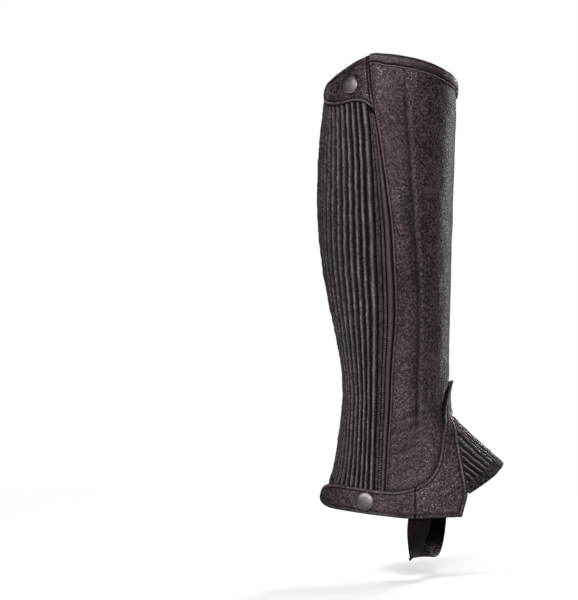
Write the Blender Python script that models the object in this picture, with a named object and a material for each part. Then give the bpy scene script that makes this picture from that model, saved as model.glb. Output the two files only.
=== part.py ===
"""A leather half chap for the right leg, filled out as it is worn.

+X points to the toe, -Y to the outer side of the leg, +Z up. The origin is the middle of the calf
hollow at its widest, where the leg holds the half chap up.

Every panel lies on one leg form. A place on the form is a turn in degrees (0 at the front,
90 on the outer side, 180 at the back, 270 on the inner side) and a height. A panel's thickness and
the layers on it are measured outward from the form along its normal.
"""

import math

import bmesh
import bpy
import numpy as np
from mathutils import Vector

mm = 0.001

# Leather, cloth and seam sizes
seam_gap = 0.3 * mm
leather = 1.6 * mm
binding_leather = 1.2 * mm
overlay_leather = 1.3 * mm
strap_leather = 1.6 * mm
rib_floor = 1.2 * mm
rib_height = 1.5 * mm
gusset_floor = 1.1 * mm
gusset_rib_height = 1.7 * mm

# The pleated panels; the pleat beside the zip is wider than the rest by this factor
calf_ribs = 18
zip_rib_width = 1.3
gusset_ribs = 22

# What lies on a panel keeps this much more than the seam gap, because the two bend differently
overlay_gap = 0.45 * mm
ankle_gap = 1.1 * mm

# Rolled bindings: how far they reach down outside and inside the bound edge
rim_cover = 7.5 * mm
hem_cover = 8.5 * mm
hidden_cover = 5.5 * mm
toe_cover = 7.5 * mm
toe_cover_inside = 4.0 * mm

# The toe piece starts under the ankle piece, on this line between its rear and front edges
toe_seam_share = 0.9
toe_seam_cover = 5.5 * mm

# Closures
snap_diameter = 16.5 * mm
snap_rise = 3.0 * mm
foot_strap_width = 20.0 * mm
foot_strap_thickness = 1.6 * mm

# The form's cross-section: 2 is an ellipse, and more is squarer
squareness = 2.3

# The leg form from the top down, in millimetres
form_columns = ("height", "back", "front", "half_width", "centre")
form_rows = (
    (150, -46.5, 61.2, 46.5, 6.0),
    (112, -51.6, 60.8, 48.0, 4.0),
    (84, -55.2, 60.3, 49.2, 2.0),
    (58, -57.9, 59.6, 50.0, 0.5),
    (22, -59.7, 58.7, 50.5, -0.5),
    (-14, -59.4, 57.8, 50.0, -0.5),
    (-50, -55.8, 56.9, 47.8, 0.5),
    (-86, -49.5, 56.4, 44.5, 3.0),
    (-122, -41.7, 55.6, 40.8, 6.5),
    (-148, -37.2, 55.1, 38.3, 8.5),
    (-162, -36.2, 55.0, 37.3, 9.0),
    (-176, -36.1, 55.0, 36.8, 9.0),
    (-184, -36.7, 55.8, 36.6, 9.0),
    (-190, -37.4, 58.4, 36.6, 9.0),
    (-196, -38.1, 63.6, 36.7, 9.0),
    (-203, -38.9, 70.8, 37.0, 9.0),
    (-212, -40.0, 80.6, 37.3, 8.5),
    (-221, -41.3, 91.0, 37.8, 8.0),
    (-230, -42.7, 101.0, 38.3, 7.5),
    (-239, -44.7, 111.0, 38.8, 7.0),
    (-252, -48.3, 124.0, 39.5, 6.0),
    (-266, -52.3, 137.0, 40.0, 5.0),
    (-285, -57.0, 152.0, 40.5, 4.0),
)

# The plain leather's columns on the outer side, under the ankle piece and on the inner side
plain_columns = (6, 24, 10)

# Rows of both tall panels, as shares of their height: close at the bindings and at the ankle
wall_row_shares = (
    0, 0.022, 0.031, 0.09, 0.16, 0.23, 0.30, 0.37, 0.44, 0.51, 0.57, 0.63, 0.69,
    0.74, 0.79, 0.83, 0.87, 0.915, 0.965, 0.974, 1,
)

# Height of the wall's top edge round the leg: high on the outer side, low at the back
rim_columns = ("turn", "height")
rim_rows = (
    (-20, 104.7),
    (0, 106.5),
    (17, 111.5),
    (36, 117.6),
    (50, 122.2),
    (62, 125.3),
    (80, 128.4),
    (97, 130.2),
    (110, 130.0),
    (118, 127.3),
    (128, 123.4),
    (140, 116.8),
    (155, 108.8),
    (168, 103.6),
    (180, 101.8),
    (200, 101.7),
    (230, 105.2),
    (270, 108.2),
    (310, 106.2),
    (340, 104.7),
    (360, 106.5),
)

# Height of the wall's lower edge: over the boot's heel at the back, lowest at the front corners
hem_columns = ("turn", "height")
hem_rows = (
    (20, -275.2),
    (45, -275.8),
    (70, -276.0),
    (90, -275.4),
    (105, -274.2),
    (125, -271.5),
    (150, -264.0),
    (165, -257.5),
    (180, -251.8),
    (200, -249.5),
    (215, -250.3),
    (232, -252.0),
    (243, -254.0),
    (267, -259.0),
    (277, -263.0),
    (305, -273.7),
    (315, -275.4),
    (340, -275.2),
)

# The leather's edge along the zip, and how wide the zip's strips are together behind it
zip_columns = ("height", "edge_x", "strips")
zip_rows = (
    (134, -17.6, 5.0),
    (105, -15.8, 5.0),
    (80, -12.4, 5.6),
    (60, -8.8, 7.2),
    (40, -5.8, 9.0),
    (20, -2.7, 11.0),
    (0, 0.0, 12.8),
    (-20, 2.5, 14.0),
    (-50, 4.6, 15.2),
    (-81, 6.5, 15.6),
    (-103, 6.8, 15.0),
    (-125, 5.5, 13.6),
    (-150, 3.9, 12.2),
    (-180, 3.0, 11.6),
    (-212, 1.1, 10.6),
    (-244, -0.5, 9.8),
    (-275, -1.6, 9.6),
)

# The seam on the inner side where the pleats meet the plain leather
back_seam_columns = ("height", "edge_x")
back_seam_rows = (
    (125, -40.5),
    (95, -44.5),
    (60, -50.0),
    (25, -52.0),
    (-5, -50.0),
    (-35, -44.5),
    (-65, -38.5),
    (-95, -31.0),
    (-120, -25.5),
    (-140, -23.2),
    (-165, -24.0),
    (-190, -27.0),
    (-215, -31.0),
    (-240, -35.0),
    (-262, -38.5),
)

# The reinforcement on the inner side of the calf
patch_columns = ("height", "rear_x", "front_x")
patch_rows = (
    (75.5, 2.0, 31.0),
    (74.0, -13.0, 39.5),
    (69.0, -25.0, 45.5),
    (60.0, -32.5, 49.3),
    (45.0, -36.0, 51.5),
    (16.0, -34.0, 52.5),
    (-15.0, -31.0, 51.8),
    (-46.0, -28.0, 51.2),
    (-94.0, -21.0, 50.0),
    (-118.0, -17.0, 48.8),
    (-130.0, -13.5, 46.8),
    (-139.5, -7.5, 42.0),
    (-146.0, 1.5, 34.0),
    (-148.5, 11.0, 25.0),
)

# The ankle piece: its rear edge and its front edge, each from the outer hem over the front
# of the ankle to the inner hem. side is -1 outer, 1 inner, and 0 on the front line.
ankle_columns = ("rear_side", "rear_x", "rear_z", "front_side", "front_x", "front_z")
ankle_rows = (
    (-1, 25.6, -279.0, -1, 67.0, -277.5),
    (-1, 25.6, -265.0, -1, 69.6, -267.5),
    (-1, 26.0, -251.6, -1, 71.8, -258.5),
    (-1, 34.9, -246.2, -1, 71.0, -249.0),
    (-1, 41.2, -239.0, -1, 69.4, -240.5),
    (-1, 45.4, -230.5, -1, 67.6, -230.5),
    (-1, 48.0, -218.5, -1, 65.6, -220.0),
    (-1, 50.0, -205.0, -1, 63.4, -208.0),
    (-1, 51.8, -190.0, -1, 61.4, -198.0),
    (-1, 54.0, -176.5, -1, 58.8, -192.5),
    (-1, 57.0, -165.5, -1, 59.8, -189.0),
    (0, 0.0, -157.5, 0, 0.0, -187.6),
    (1, 54.6, -161.8, 1, 59.8, -189.0),
    (1, 50.4, -169.0, 1, 58.6, -192.5),
    (1, 47.6, -180.0, 1, 59.8, -199.0),
    (1, 45.4, -193.5, 1, 60.8, -209.5),
    (1, 44.2, -209.5, 1, 61.6, -220.0),
    (1, 43.4, -225.0, 1, 62.0, -232.0),
    (1, 42.2, -242.0, 1, 61.6, -246.0),
    (1, 41.0, -259.0, 1, 60.4, -260.0),
    (1, 40.6, -274.6, 1, 59.0, -274.6),
)

# The toe piece from the outer fork to the inner one: the ankle piece's row where each line across
# starts, and where the line ends on the toe hem
toe_columns = ("across", "ankle_row", "side", "hem_x", "hem_z")
toe_rows = (
    (-1.00, 2.6, -1, 71.6, -256.8),
    (-0.84, 4.1, -1, 80.0, -251.5),
    (-0.68, 5.3, -1, 88.4, -246.0),
    (-0.50, 6.6, -1, 95.8, -240.8),
    (-0.34, 8.0, -1, 100.4, -236.6),
    (0.00, 11.0, 0, 0.0, -232.6),
    (0.34, 14.0, 1, 100.2, -236.6),
    (0.50, 15.2, 1, 94.4, -240.4),
    (0.68, 16.4, 1, 84.4, -245.2),
    (0.84, 17.3, 1, 73.0, -249.8),
    (1.00, 18.1, 1, 62.0, -253.6),
)

# The lower strap: its edges from the ankle piece back to its round end
strap_columns = ("turn", "top", "bottom", "lift")
strap_rows = (
    (62.0, -251.6, -279.2, 0.0),
    (72.0, -253.8, -278.8, 0.5),
    (84.0, -254.9, -278.0, 1.2),
    (98.0, -254.6, -276.8, 1.3),
    (112.0, -253.8, -275.8, 1.3),
    (126.0, -252.4, -274.4, 1.3),
    (138.0, -251.2, -273.2, 1.5),
    (148.0, -250.4, -272.4, 2.2),
    (156.0, -250.6, -271.4, 3.2),
    (162.0, -251.8, -269.6, 4.2),
    (166.5, -254.0, -267.0, 5.2),
    (169.0, -257.0, -263.6, 5.8),
)

# The upper tab, from the leather's edge back over the zip to its round end
tab_columns = ("run", "bottom", "lift")
tab_rows = (
    (0.00, 80.6, 0.0),
    (0.06, 84.2, 1.4),
    (0.12, 87.0, 1.6),
    (0.20, 88.8, 1.6),
    (0.32, 88.8, 1.6),
    (0.46, 87.2, 1.6),
    (0.60, 86.4, 1.6),
    (0.74, 87.2, 1.6),
    (0.86, 89.4, 1.6),
    (0.94, 92.4, 1.6),
    (1.00, 97.0, 1.6),
)
tab_end_turn = 171.0

# The elastic under the boot: its middle line from the outer side to the inner side, and its twist
foot_strap_columns = ("x", "y", "z", "twist")
foot_strap_rows = (
    (30.5, -38.2, -262.0, 2),
    (30.1, -38.6, -277.0, 2),
    (29.5, -37.6, -290.0, 8),
    (28.5, -33.8, -301.0, 22),
    (28.7, -25.0, -309.5, 30),
    (30.5, -12.0, -313.5, 26),
    (34.5, 2.0, -314.6, 20),
    (38.5, 15.0, -312.2, 14),
    (42.0, 26.4, -304.5, 8),
    (44.2, 33.2, -293.0, 2),
    (45.4, 36.0, -278.0, -4),
    (45.8, 36.0, -262.0, -4),
)

# Places of the press studs: side view x and height
upper_snap_place = (-34.8 * mm, 104.6 * mm)
lower_snap_place = (-17.6 * mm, -264.6 * mm)

brown_black = (0.035, 0.029, 0.029, 1)
piping_brown = (0.055, 0.046, 0.045, 1)
suede_grey = (0.045, 0.040, 0.036, 1)
tape_black = (0.010, 0.009, 0.009, 1)
gunmetal = (0.36, 0.33, 0.33, 1)


def column(rows, columns, name):
    """One named column of a table, as an array."""
    return np.array([row[columns.index(name)] for row in rows], float)


def smooth_read(at, known, values):
    """A smooth curve through the known points, read at one or many places, straight past its ends."""
    order = np.argsort(known)
    known, values = known[order], values[order]
    steps = np.diff(known)
    rises = np.diff(values) / steps
    slopes = np.empty_like(values)
    slopes[1:-1] = (rises[:-1] * steps[1:] + rises[1:] * steps[:-1]) / (steps[:-1] + steps[1:])
    slopes[0], slopes[-1] = rises[0], rises[-1]
    at = np.asarray(at, float)
    span = np.clip(np.searchsorted(known, at) - 1, 0, len(steps) - 1)
    width = steps[span]
    t = np.clip((at - known[span]) / width, 0, 1)
    past = at - np.clip(at, known[0], known[-1])
    end_slope = np.where(past < 0, slopes[0], slopes[-1])
    inside = (
        (2 * t**3 - 3 * t**2 + 1) * values[span]
        + (t**3 - 2 * t**2 + t) * width * slopes[span]
        + (3 * t**2 - 2 * t**3) * values[span + 1]
        + (t**3 - t**2) * width * slopes[span + 1]
    )
    return inside + past * end_slope


def reader(rows, columns, key, name, scale=mm, key_scale=mm):
    """A function that reads one column of a table smoothly against another."""
    known = column(rows, columns, key) * key_scale
    values = column(rows, columns, name) * scale
    return lambda at: smooth_read(at, known, values)


back_at = reader(form_rows, form_columns, "height", "back")
front_at = reader(form_rows, form_columns, "height", "front")
half_width_at = reader(form_rows, form_columns, "height", "half_width")
centre_at = reader(form_rows, form_columns, "height", "centre")
rim_at = reader(rim_rows, rim_columns, "turn", "height", key_scale=1)
hem_at = reader(hem_rows, hem_columns, "turn", "height", key_scale=1)
zip_edge_at = reader(zip_rows, zip_columns, "height", "edge_x")
zip_strips_at = reader(zip_rows, zip_columns, "height", "strips")
back_seam_at = reader(back_seam_rows, back_seam_columns, "height", "edge_x")


def form_point(turn, height, out=0.0):
    """Points on the leg form, moved outward from it by out."""
    turn, height, out = np.broadcast_arrays(np.asarray(turn, float), height, out)
    point = bare_form(turn, height)
    if not np.any(out):
        return point
    little_turn, little_height = 0.2, 0.2 * mm
    across = bare_form(turn + little_turn, height) - bare_form(turn - little_turn, height)
    along = bare_form(turn, height + little_height) - bare_form(turn, height - little_height)
    normal = np.cross(along, across)
    normal /= np.linalg.norm(normal, axis=-1, keepdims=True)
    return point + normal * out[..., None]


def bare_form(turn, height):
    """Points on the leg form itself: an oval section whose front half reaches out over the foot."""
    angle = np.radians(turn)
    c, s = np.cos(angle), np.sin(angle)
    centre = centre_at(height)
    reach = np.where(c >= 0, front_at(height) - centre, centre - back_at(height))
    share = (np.abs(c) / reach) ** squareness + (np.abs(s) / half_width_at(height)) ** squareness
    radius = share ** (-1 / squareness)
    return np.stack([centre + radius * c, -radius * s, height + 0 * radius], axis=-1)


def turn_of(x, height, side, out=0.0):
    """The turn where the form, moved outward by out, has this side-view x.

    side is -1 on the outer side of the leg and 1 on the inner side.
    """
    x, height = np.broadcast_arrays(np.asarray(x, float), height)
    low, high = np.zeros(x.shape), np.full(x.shape, 180.0)
    for _ in range(28):
        middle = (low + high) / 2
        ahead = form_point(middle, height, out)[..., 0] > x
        low, high = np.where(ahead, middle, low), np.where(ahead, high, middle)
    turn = (low + high) / 2
    return turn if side < 0 else 360 - turn


def degrees_for(length, turn, height):
    """How many degrees of turn make this length round the form."""
    step = 0.5
    moved = bare_form(turn + step, height) - bare_form(turn - step, height)
    return length * 2 * step / np.linalg.norm(moved, axis=-1)


def spaced(count, low=0.0, high=1.0):
    return np.linspace(low, high, count + 1)


def material(name, colour, roughness, metallic=0.0):
    made = bpy.data.materials.get(name)
    if made is None:
        made = bpy.data.materials.new(name)
        made.use_nodes = True
        shader = made.node_tree.nodes["Principled BSDF"]
        shader.inputs["Base Color"].default_value = colour
        shader.inputs["Roughness"].default_value = roughness
        shader.inputs["Metallic"].default_value = metallic
    return made


def object_from(bm, name, finish):
    """Puts a finished bmesh in the scene as one named part, its faces pointing out."""
    bmesh.ops.recalc_face_normals(bm, faces=bm.faces)
    if bm.calc_volume(signed=True) < 0:
        bmesh.ops.reverse_faces(bm, faces=bm.faces)
    mesh = bpy.data.meshes.new(name)
    bm.to_mesh(mesh)
    bm.free()
    mesh.shade_smooth()
    mesh.set_sharp_from_angle(angle=math.radians(40))
    mesh.materials.append(finish)
    made = bpy.data.objects.new(name, mesh)
    parts.objects.link(made)
    return made


def wall(name, inner, outer, finish):
    """A closed wall: a grid extruded once, its two faces on the inner and the outer points."""
    rows, columns = inner.shape[0] - 1, inner.shape[1] - 1
    bm = bmesh.new()
    number = bm.verts.layers.int.new("number")
    bmesh.ops.create_grid(bm, x_segments=columns, y_segments=rows, size=1)
    bm.verts.ensure_lookup_table()
    for i, vert in enumerate(bm.verts):
        vert[number] = i
    flat_inner, flat_outer = inner.reshape(-1, 3), outer.reshape(-1, 3)
    raised = bmesh.ops.extrude_face_region(bm, geom=bm.faces[:])["geom"]
    raised = {item for item in raised if isinstance(item, bmesh.types.BMVert)}
    for vert in bm.verts:
        points = flat_outer if vert in raised else flat_inner
        vert.co = points[vert[number]]
    return object_from(bm, name, finish)


def panel(name, turn, height, inner, outer, finish):
    """A wall on the form between two offsets, which may vary from point to point."""
    return wall(name, form_point(turn, height, inner), form_point(turn, height, outer), finish)


def between(first, last, share):
    return first + (last - first) * share


def zip_turn_at(height, share):
    """The turn of a line along the zip: share 0 is the leather's edge and 1 the first pleat."""
    edge = turn_of(zip_edge_at(height), height, -1)
    return edge + degrees_for(zip_strips_at(height) * share, edge, height)


def back_seam_turn_at(height):
    return turn_of(back_seam_at(height), height, 1)


def meeting(turn_at, height_at):
    """Turns and heights where seam lines meet an edge whose height changes round the leg."""
    turn = 150.0
    for _ in range(12):
        height = height_at(turn)
        turn = turn_at(height)
    return turn, height_at(turn)


def signed_turns(x, height, side, out):
    """Turns of places read from the side, negative on the inner side and 0 on the front line."""
    outer, inner = turn_of(x, height, -1, out), turn_of(x, height, 1, out) - 360
    return np.where(side < 0, outer, np.where(side > 0, inner, 0.0))


def ankle_line(share, at):
    """A line along the ankle piece, read at places counted in its table's rows.

    share 0 is the rear edge and 1 the front edge.
    """
    known = np.arange(len(ankle_rows), dtype=float)
    out = leather + ankle_gap + overlay_leather
    lines = []
    for edge in ("rear", "front"):
        side, x, height = (column(ankle_rows, ankle_columns, edge + part) for part in ("_side", "_x", "_z"))
        turn = signed_turns(x * mm, height * mm, side, out)
        lines.append((smooth_read(at, known, turn), smooth_read(at, known, height * mm)))
    (rear_turn, rear_height), (front_turn, front_height) = lines
    return between(rear_turn, front_turn, share), between(rear_height, front_height, share)


def toe_lines(across):
    """Turn and height of the ankle seam and of the toe hem at places across the toe piece."""
    known, row, side, hem_x, hem_z = (column(toe_rows, toe_columns, name) for name in toe_columns)
    hem_turn = signed_turns(hem_x * mm, hem_z * mm, side, gusset_floor)
    seam_turn, seam_height = ankle_line(toe_seam_share, smooth_read(across, known, row))
    return (
        seam_turn,
        seam_height,
        smooth_read(across, known, hem_turn),
        smooth_read(across, known, hem_z * mm),
    )


def main_leather():
    """The plain leather from the zip forward round the shin and the inner side to the back seam.

    Its lower edge follows the hem, and runs up under the ankle piece over the front.
    """
    outer, front, inner = plain_columns
    marks = np.cumsum([0, outer, front, inner])
    share = np.interp(np.arange(marks[-1] + 1), marks, (0.0, 0.17, 0.72, 1.0))

    def line(height, share):
        first = zip_turn_at(height, 0.0)
        last = back_seam_turn_at(height) - 360
        last = last + degrees_for(seam_gap / 2, last, height)
        return between(first, last, share)

    def edge(height_at, share):
        return meeting(lambda height: line(height, share), lambda turn: height_at(turn % 360))

    _, top = edge(rim_at, share)
    (zip_foot, _), (seam_foot, _) = edge(hem_at, 0.0), edge(hem_at, 1.0)
    last_row = len(ankle_rows) - 1
    under_turn, under_height = ankle_line(0.55, spaced(front, 0, last_row))
    outer_turn = spaced(outer, zip_foot, under_turn[0])[:-1]
    inner_turn = spaced(inner, under_turn[-1], seam_foot)[1:]
    low_turn = np.concatenate([outer_turn, under_turn, inner_turn])
    low = np.concatenate([hem_at(outer_turn), under_height, hem_at(inner_turn % 360)])
    low_share = (low_turn - line(low, 0.0)) / (line(low, 1.0) - line(low, 0.0))
    down = np.array(wall_row_shares)[:, None]
    height = between(top, low, down)
    turn = line(height, between(share, low_share, down**2))
    panel("main_leather", turn, height, 0, leather, leather_finish)


def rib_wave(columns_each, count):
    """Height of each grid column over a run of ribs, from 0 in the valleys to 1 on the crests."""
    one = (0.0, 0.9, 0.9) if columns_each == 3 else (0.0, 1.0)
    return np.array(list(one) * count + [0.0])


def pleated_calf():
    """Elastic leather in vertical pleats, from the zip round the back to the inner seam."""
    each = 3
    widths = np.array([zip_rib_width] * each + [1.0] * each * (calf_ribs - 1))
    share = np.concatenate([[0], np.cumsum(widths)]) / widths.sum()

    def line(height):
        last = back_seam_turn_at(height)
        return between(zip_turn_at(height, 1.0), last - degrees_for(seam_gap / 2, last, height), share)

    _, top = meeting(line, rim_at)
    _, low = meeting(line, hem_at)
    down = np.array(wall_row_shares)[:, None]
    height = between(top, low, down)
    pleated = (down >= wall_row_shares[2]) & (down <= wall_row_shares[-3])
    rib = np.where(pleated, rib_wave(each, calf_ribs), 0.0)
    turn = line(height)
    panel("pleated_calf", turn, height, 0, rib_floor + rib_height * rib, leather_finish)


def zip_strip(name, first, last, inner, outer, finish, top_below, low_above, columns=1, crown=0.0):
    """A strip along the zip between two shares of the zip's width, domed by crown."""
    rows = 22
    turn_top, top = meeting(lambda h: zip_turn_at(h, last), rim_at)
    turn_low, low = meeting(lambda h: zip_turn_at(h, last), hem_at)
    height = spaced(rows, top - top_below, low + low_above)[:, None]
    share = between(first, last, spaced(columns))[None, :]
    dome = crown * np.sin(np.pi * spaced(columns))[None, :]
    turn = zip_turn_at(height, share)
    height = height + 0 * turn
    panel(name, turn, height, inner, outer + dome, finish)


def zip_fastening():
    """The closed zip: its tape behind, the guard strip, the row of teeth and the stitched edge.

    Each strip runs from just below the upper tab's slanted edge down to the hem.
    """
    over_hem = 0.4 * mm
    guard, teeth, edge = 49.0 * mm, 47.4 * mm, 45.8 * mm
    zip_strip("zip_guard", 0.12, 0.42, 0, 1.3 * mm, piping_finish, guard, over_hem, 2, 0.7 * mm)
    zip_strip("zip_teeth", 0.46, 0.68, 0, 1.5 * mm, tape_finish, teeth, over_hem)
    zip_strip("zip_edge_strip", 0.72, 0.96, 0, 1.1 * mm, leather_finish, edge, over_hem)
    inside, outside = -1.3 * mm, -0.3 * mm
    zip_strip("zip_tape", -0.30, 1.45, inside, outside, tape_finish, 9 * mm, 8 * mm, 3)


def rolled_edge(turn, edge_height, up, wall_thickness, cover):
    """Inner and outer points of a binding rolled over a wall's edge; up is 1 at a rim, -1 at a hem."""
    hidden = hidden_cover
    near, far = seam_gap, seam_gap + binding_leather
    w = wall_thickness
    # Each row: how far past the edge, and how far out, for the inner then the outer face
    profile = (
        (-cover, w + near, -cover, w + far),
        (0.6 * near, w + near, 0, w + far),
        (near, w * 0.8, far, w * 0.8),
        (near, w * 0.2, far, w * 0.2),
        (0.6 * near, -near, 0, -far),
        (-hidden, -near, -hidden, -far),
    )
    faces = []
    for past_at, out_at in ((0, 1), (2, 3)):
        rows = [
            form_point(turn, edge_height + up * row[past_at], row[out_at] + 0 * turn)
            for row in profile
        ]
        faces.append(np.stack(rows))
    return faces


def wall_thickness_at(turn, seam_turn):
    """Thickness that a binding covers: the plain leather's, or the thinner pleats' behind the seam."""
    on_pleats = np.clip((seam_turn - 1 - turn) / 6, 0, 1)
    return between(leather, rib_floor, on_pleats)


def top_binding():
    """A rolled leather edge round the top, open at the zip."""
    start, top = meeting(lambda h: zip_turn_at(h, 0.0), rim_at)
    end, _ = meeting(lambda h: zip_turn_at(h, 1.0), rim_at)
    seam, _ = meeting(back_seam_turn_at, rim_at)
    turn = spaced(56, start - degrees_for(2 * seam_gap, start, top), end - 360)
    round_turn = turn % 360
    thick = np.where(turn > 0, leather, wall_thickness_at(round_turn, seam))
    inner, outer = rolled_edge(round_turn, rim_at(round_turn), 1, thick, rim_cover)
    wall("top_binding", inner, outer, binding_finish)


def hem_binding():
    """A rolled leather edge from the zip round the heel to the inner front corner."""
    start, _ = meeting(lambda h: zip_turn_at(h, 1.0), hem_at)
    seam, _ = meeting(back_seam_turn_at, hem_at)
    last_row = len(ankle_rows) - 1
    ankle_rear = ankle_line(0.0, last_row)[0] + 360
    corner = ankle_line(1.0, last_row)[0] + 360
    turn = spaced(44, start, corner)
    thick = wall_thickness_at(turn, seam)
    on_ankle_piece = np.clip((turn - ankle_rear + 9) / 4, 0, 1)
    over_ankle_piece = ankle_gap + overlay_leather
    thick = thick + over_ankle_piece * on_ankle_piece
    inner, outer = rolled_edge(turn, hem_at(turn), -1, thick, hem_cover)
    wall("hem_binding", inner, outer, binding_finish)


def calf_patch():
    """A flat reinforcement sewn on the inner side of the calf."""
    rows, columns = 18, 10
    known = np.arange(len(patch_rows), dtype=float)
    at = spaced(rows, 0, len(patch_rows) - 1)
    height = smooth_read(at, known, column(patch_rows, patch_columns, "height") * mm)
    rear = smooth_read(at, known, column(patch_rows, patch_columns, "rear_x") * mm)
    front = smooth_read(at, known, column(patch_rows, patch_columns, "front_x") * mm)
    out = leather + overlay_gap + overlay_leather
    rear_turn, front_turn = turn_of(rear, height, 1, out), turn_of(front, height, 1, out)
    turn = between(rear_turn[:, None], front_turn[:, None], spaced(columns)[None, :])
    height = height[:, None] + 0 * turn
    inner = leather + overlay_gap
    panel("calf_patch", turn, height, inner, inner + overlay_leather, leather_finish)


def ankle_piece():
    """The leather over the front of the ankle, forked down both sides of the toe piece."""
    along, across = 44, 5
    turn, height = ankle_line(spaced(across)[:, None], spaced(along, 0, len(ankle_rows) - 1))
    inner = leather + ankle_gap
    point_stands_off = 2.0 * mm
    tip = np.exp(-((turn / 16) ** 2)) * np.clip((height + 172 * mm) / (14 * mm), 0, 1) ** 2
    lift = point_stands_off * tip
    outer = inner + overlay_leather
    panel("ankle_piece", turn, height, inner + lift, outer + lift, leather_finish)


def lower_strap():
    """The strap from the ankle piece back over the zip's foot, closed by the lower press stud."""
    rows, columns = 5, 26
    at = spaced(columns, 0, len(strap_rows) - 1)
    known = np.arange(len(strap_rows), dtype=float)
    turn, top, bottom, lift = (
        smooth_read(at, known, column(strap_rows, strap_columns, name)) for name in strap_columns
    )
    share = spaced(rows)[:, None]
    height = between(top, bottom, share) * mm
    ankle_seam_x = column(ankle_rows, ankle_columns, "rear_x")[0] * mm
    seam_turn = turn_of(ankle_seam_x, height, -1, leather + ankle_gap)
    gap = degrees_for(seam_gap, seam_turn, height)
    follow_seam = np.clip(1 - (turn - turn[0]) / 12, 0, 1)
    turn = between(turn, seam_turn + 2 * gap + (turn - turn[0]), follow_seam)
    out = leather + overlay_gap + lift * mm
    panel("lower_strap", turn, height, out, out + strap_leather, leather_finish)


def upper_tab():
    """The tab from the leather's edge back over the zip, closed by the upper press stud."""
    rows, columns = 6, 20
    known = column(tab_rows, tab_columns, "run")
    run = np.concatenate([spaced(4, 0, 0.12)[:-1], spaced(columns - 4, 0.12, 1.0)])
    low = smooth_read(run, known, column(tab_rows, tab_columns, "bottom") * mm)
    lift = smooth_read(run, known, column(tab_rows, tab_columns, "lift") * mm)
    seam_turn, _ = meeting(lambda h: zip_turn_at(h, 0.0), rim_at)
    top_turn = between(seam_turn, tab_end_turn, run)
    drop = 4.5 * mm * np.clip((run - 0.86) / 0.14, 0, 1) ** 2
    top = rim_at(top_turn) + 1.9 * mm - 2.2 * mm * np.clip(1 - run / 0.05, 0, 1) - drop
    share = spaced(rows)[:, None]
    height = between(top, low, share)
    first = zip_turn_at(height, 0.0) + degrees_for(seam_gap, top_turn, height)
    turn = between(first, tab_end_turn, run)
    inner = lift + between(0.1 * mm, 1.5 * mm, np.clip(run / 0.06, 0, 1))
    panel("upper_tab", turn, height, inner, inner + strap_leather, leather_finish)


def toe_grid():
    """The toe piece's lines across: ankle seam and hem, and how long each line between them is."""
    lines = toe_lines(spaced(2 * gusset_ribs, -1, 1))
    shares = spaced(8)[:, None]
    points = toe_point(lines, shares)
    length = np.linalg.norm(np.diff(points, axis=0), axis=-1).sum(axis=0)
    return lines, length


def toe_point(lines, share, out=0.0):
    """Points of the toe piece: share 0 is the ankle seam, 1 the hem, and more is past it."""
    seam_turn, seam_height, hem_turn, hem_height = lines
    turn = between(seam_turn, hem_turn, share)
    height = between(seam_height, hem_height, share)
    return form_point(turn, height, out)


def toe_piece():
    """The pleated elastic over the instep, its ribs running from the ankle to the toe hem."""
    lines, length = toe_grid()
    first = np.minimum(toe_seam_cover / length, 0.5)
    last = np.maximum(1 - (toe_cover + 0.8 * mm) / length, first + 0.02)
    ramp = (last - first) * 0.16
    ribbed = [between(first + ramp, last - ramp, part) for part in spaced(3)]
    share = np.stack([0 * first, first, *ribbed, last, 0 * first + 1])
    rib = np.zeros_like(share)
    rib[2:-2] = rib_wave(2, gusset_ribs) * np.clip((length - 17 * mm) / (6 * mm), 0, 1)
    outer = gusset_floor + gusset_rib_height * rib
    wall("toe_piece", toe_point(lines, share), toe_point(lines, share, outer), leather_finish)


def toe_binding():
    """The soft edging rolled over the toe hem, between the two forks of the ankle piece."""
    lines, length = toe_grid()
    w, near, far = gusset_floor, seam_gap, seam_gap + binding_leather
    # How far short of the hem, and how far out, for the inner then the outer face
    profile = (
        (toe_cover, w + near, toe_cover, w + far),
        (-0.6 * near, w + near, 0, w + far),
        (-near, w * 0.5, -far, w * 0.5),
        (-0.6 * near, -near, 0, -far),
        (toe_cover_inside, -near, toe_cover_inside, -far),
    )
    ends = slice(3, -3)
    faces = []
    for short_at, out_at in ((0, 1), (2, 3)):
        share = np.stack([1 - np.minimum(row[short_at] / length, 0.96) for row in profile])
        out = np.array([row[out_at] for row in profile])[:, None] + 0 * share
        faces.append(toe_point(lines, share, out)[:, ends])
    wall("toe_binding", faces[0], faces[1], suede_finish)


def foot_strap():
    """The elastic that passes under the boot, a flat band on a twisting line."""
    count = 44
    known = np.arange(len(foot_strap_rows), dtype=float)
    at = spaced(count, 0, len(foot_strap_rows) - 1)
    line = np.stack(
        [
            smooth_read(at, known, column(foot_strap_rows, foot_strap_columns, name)) * mm
            for name in ("x", "y", "z")
        ],
        axis=-1,
    )
    twist = np.radians(
        smooth_read(at, known, column(foot_strap_rows, foot_strap_columns, "twist"))
    )
    along = np.gradient(line, axis=0)
    along /= np.linalg.norm(along, axis=-1, keepdims=True)
    wide = np.stack([np.cos(twist), np.sin(twist), 0 * twist], axis=-1)
    wide -= (wide * along).sum(axis=-1, keepdims=True) * along
    wide /= np.linalg.norm(wide, axis=-1, keepdims=True)
    flat = np.cross(along, wide)
    edges = spaced(2, -0.5, 0.5)[:, None, None] * foot_strap_width
    middle = line[None] + edges * wide[None]
    half = flat[None] * foot_strap_thickness / 2
    wall("foot_strap", middle - half, middle + half, elastic_finish)


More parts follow.
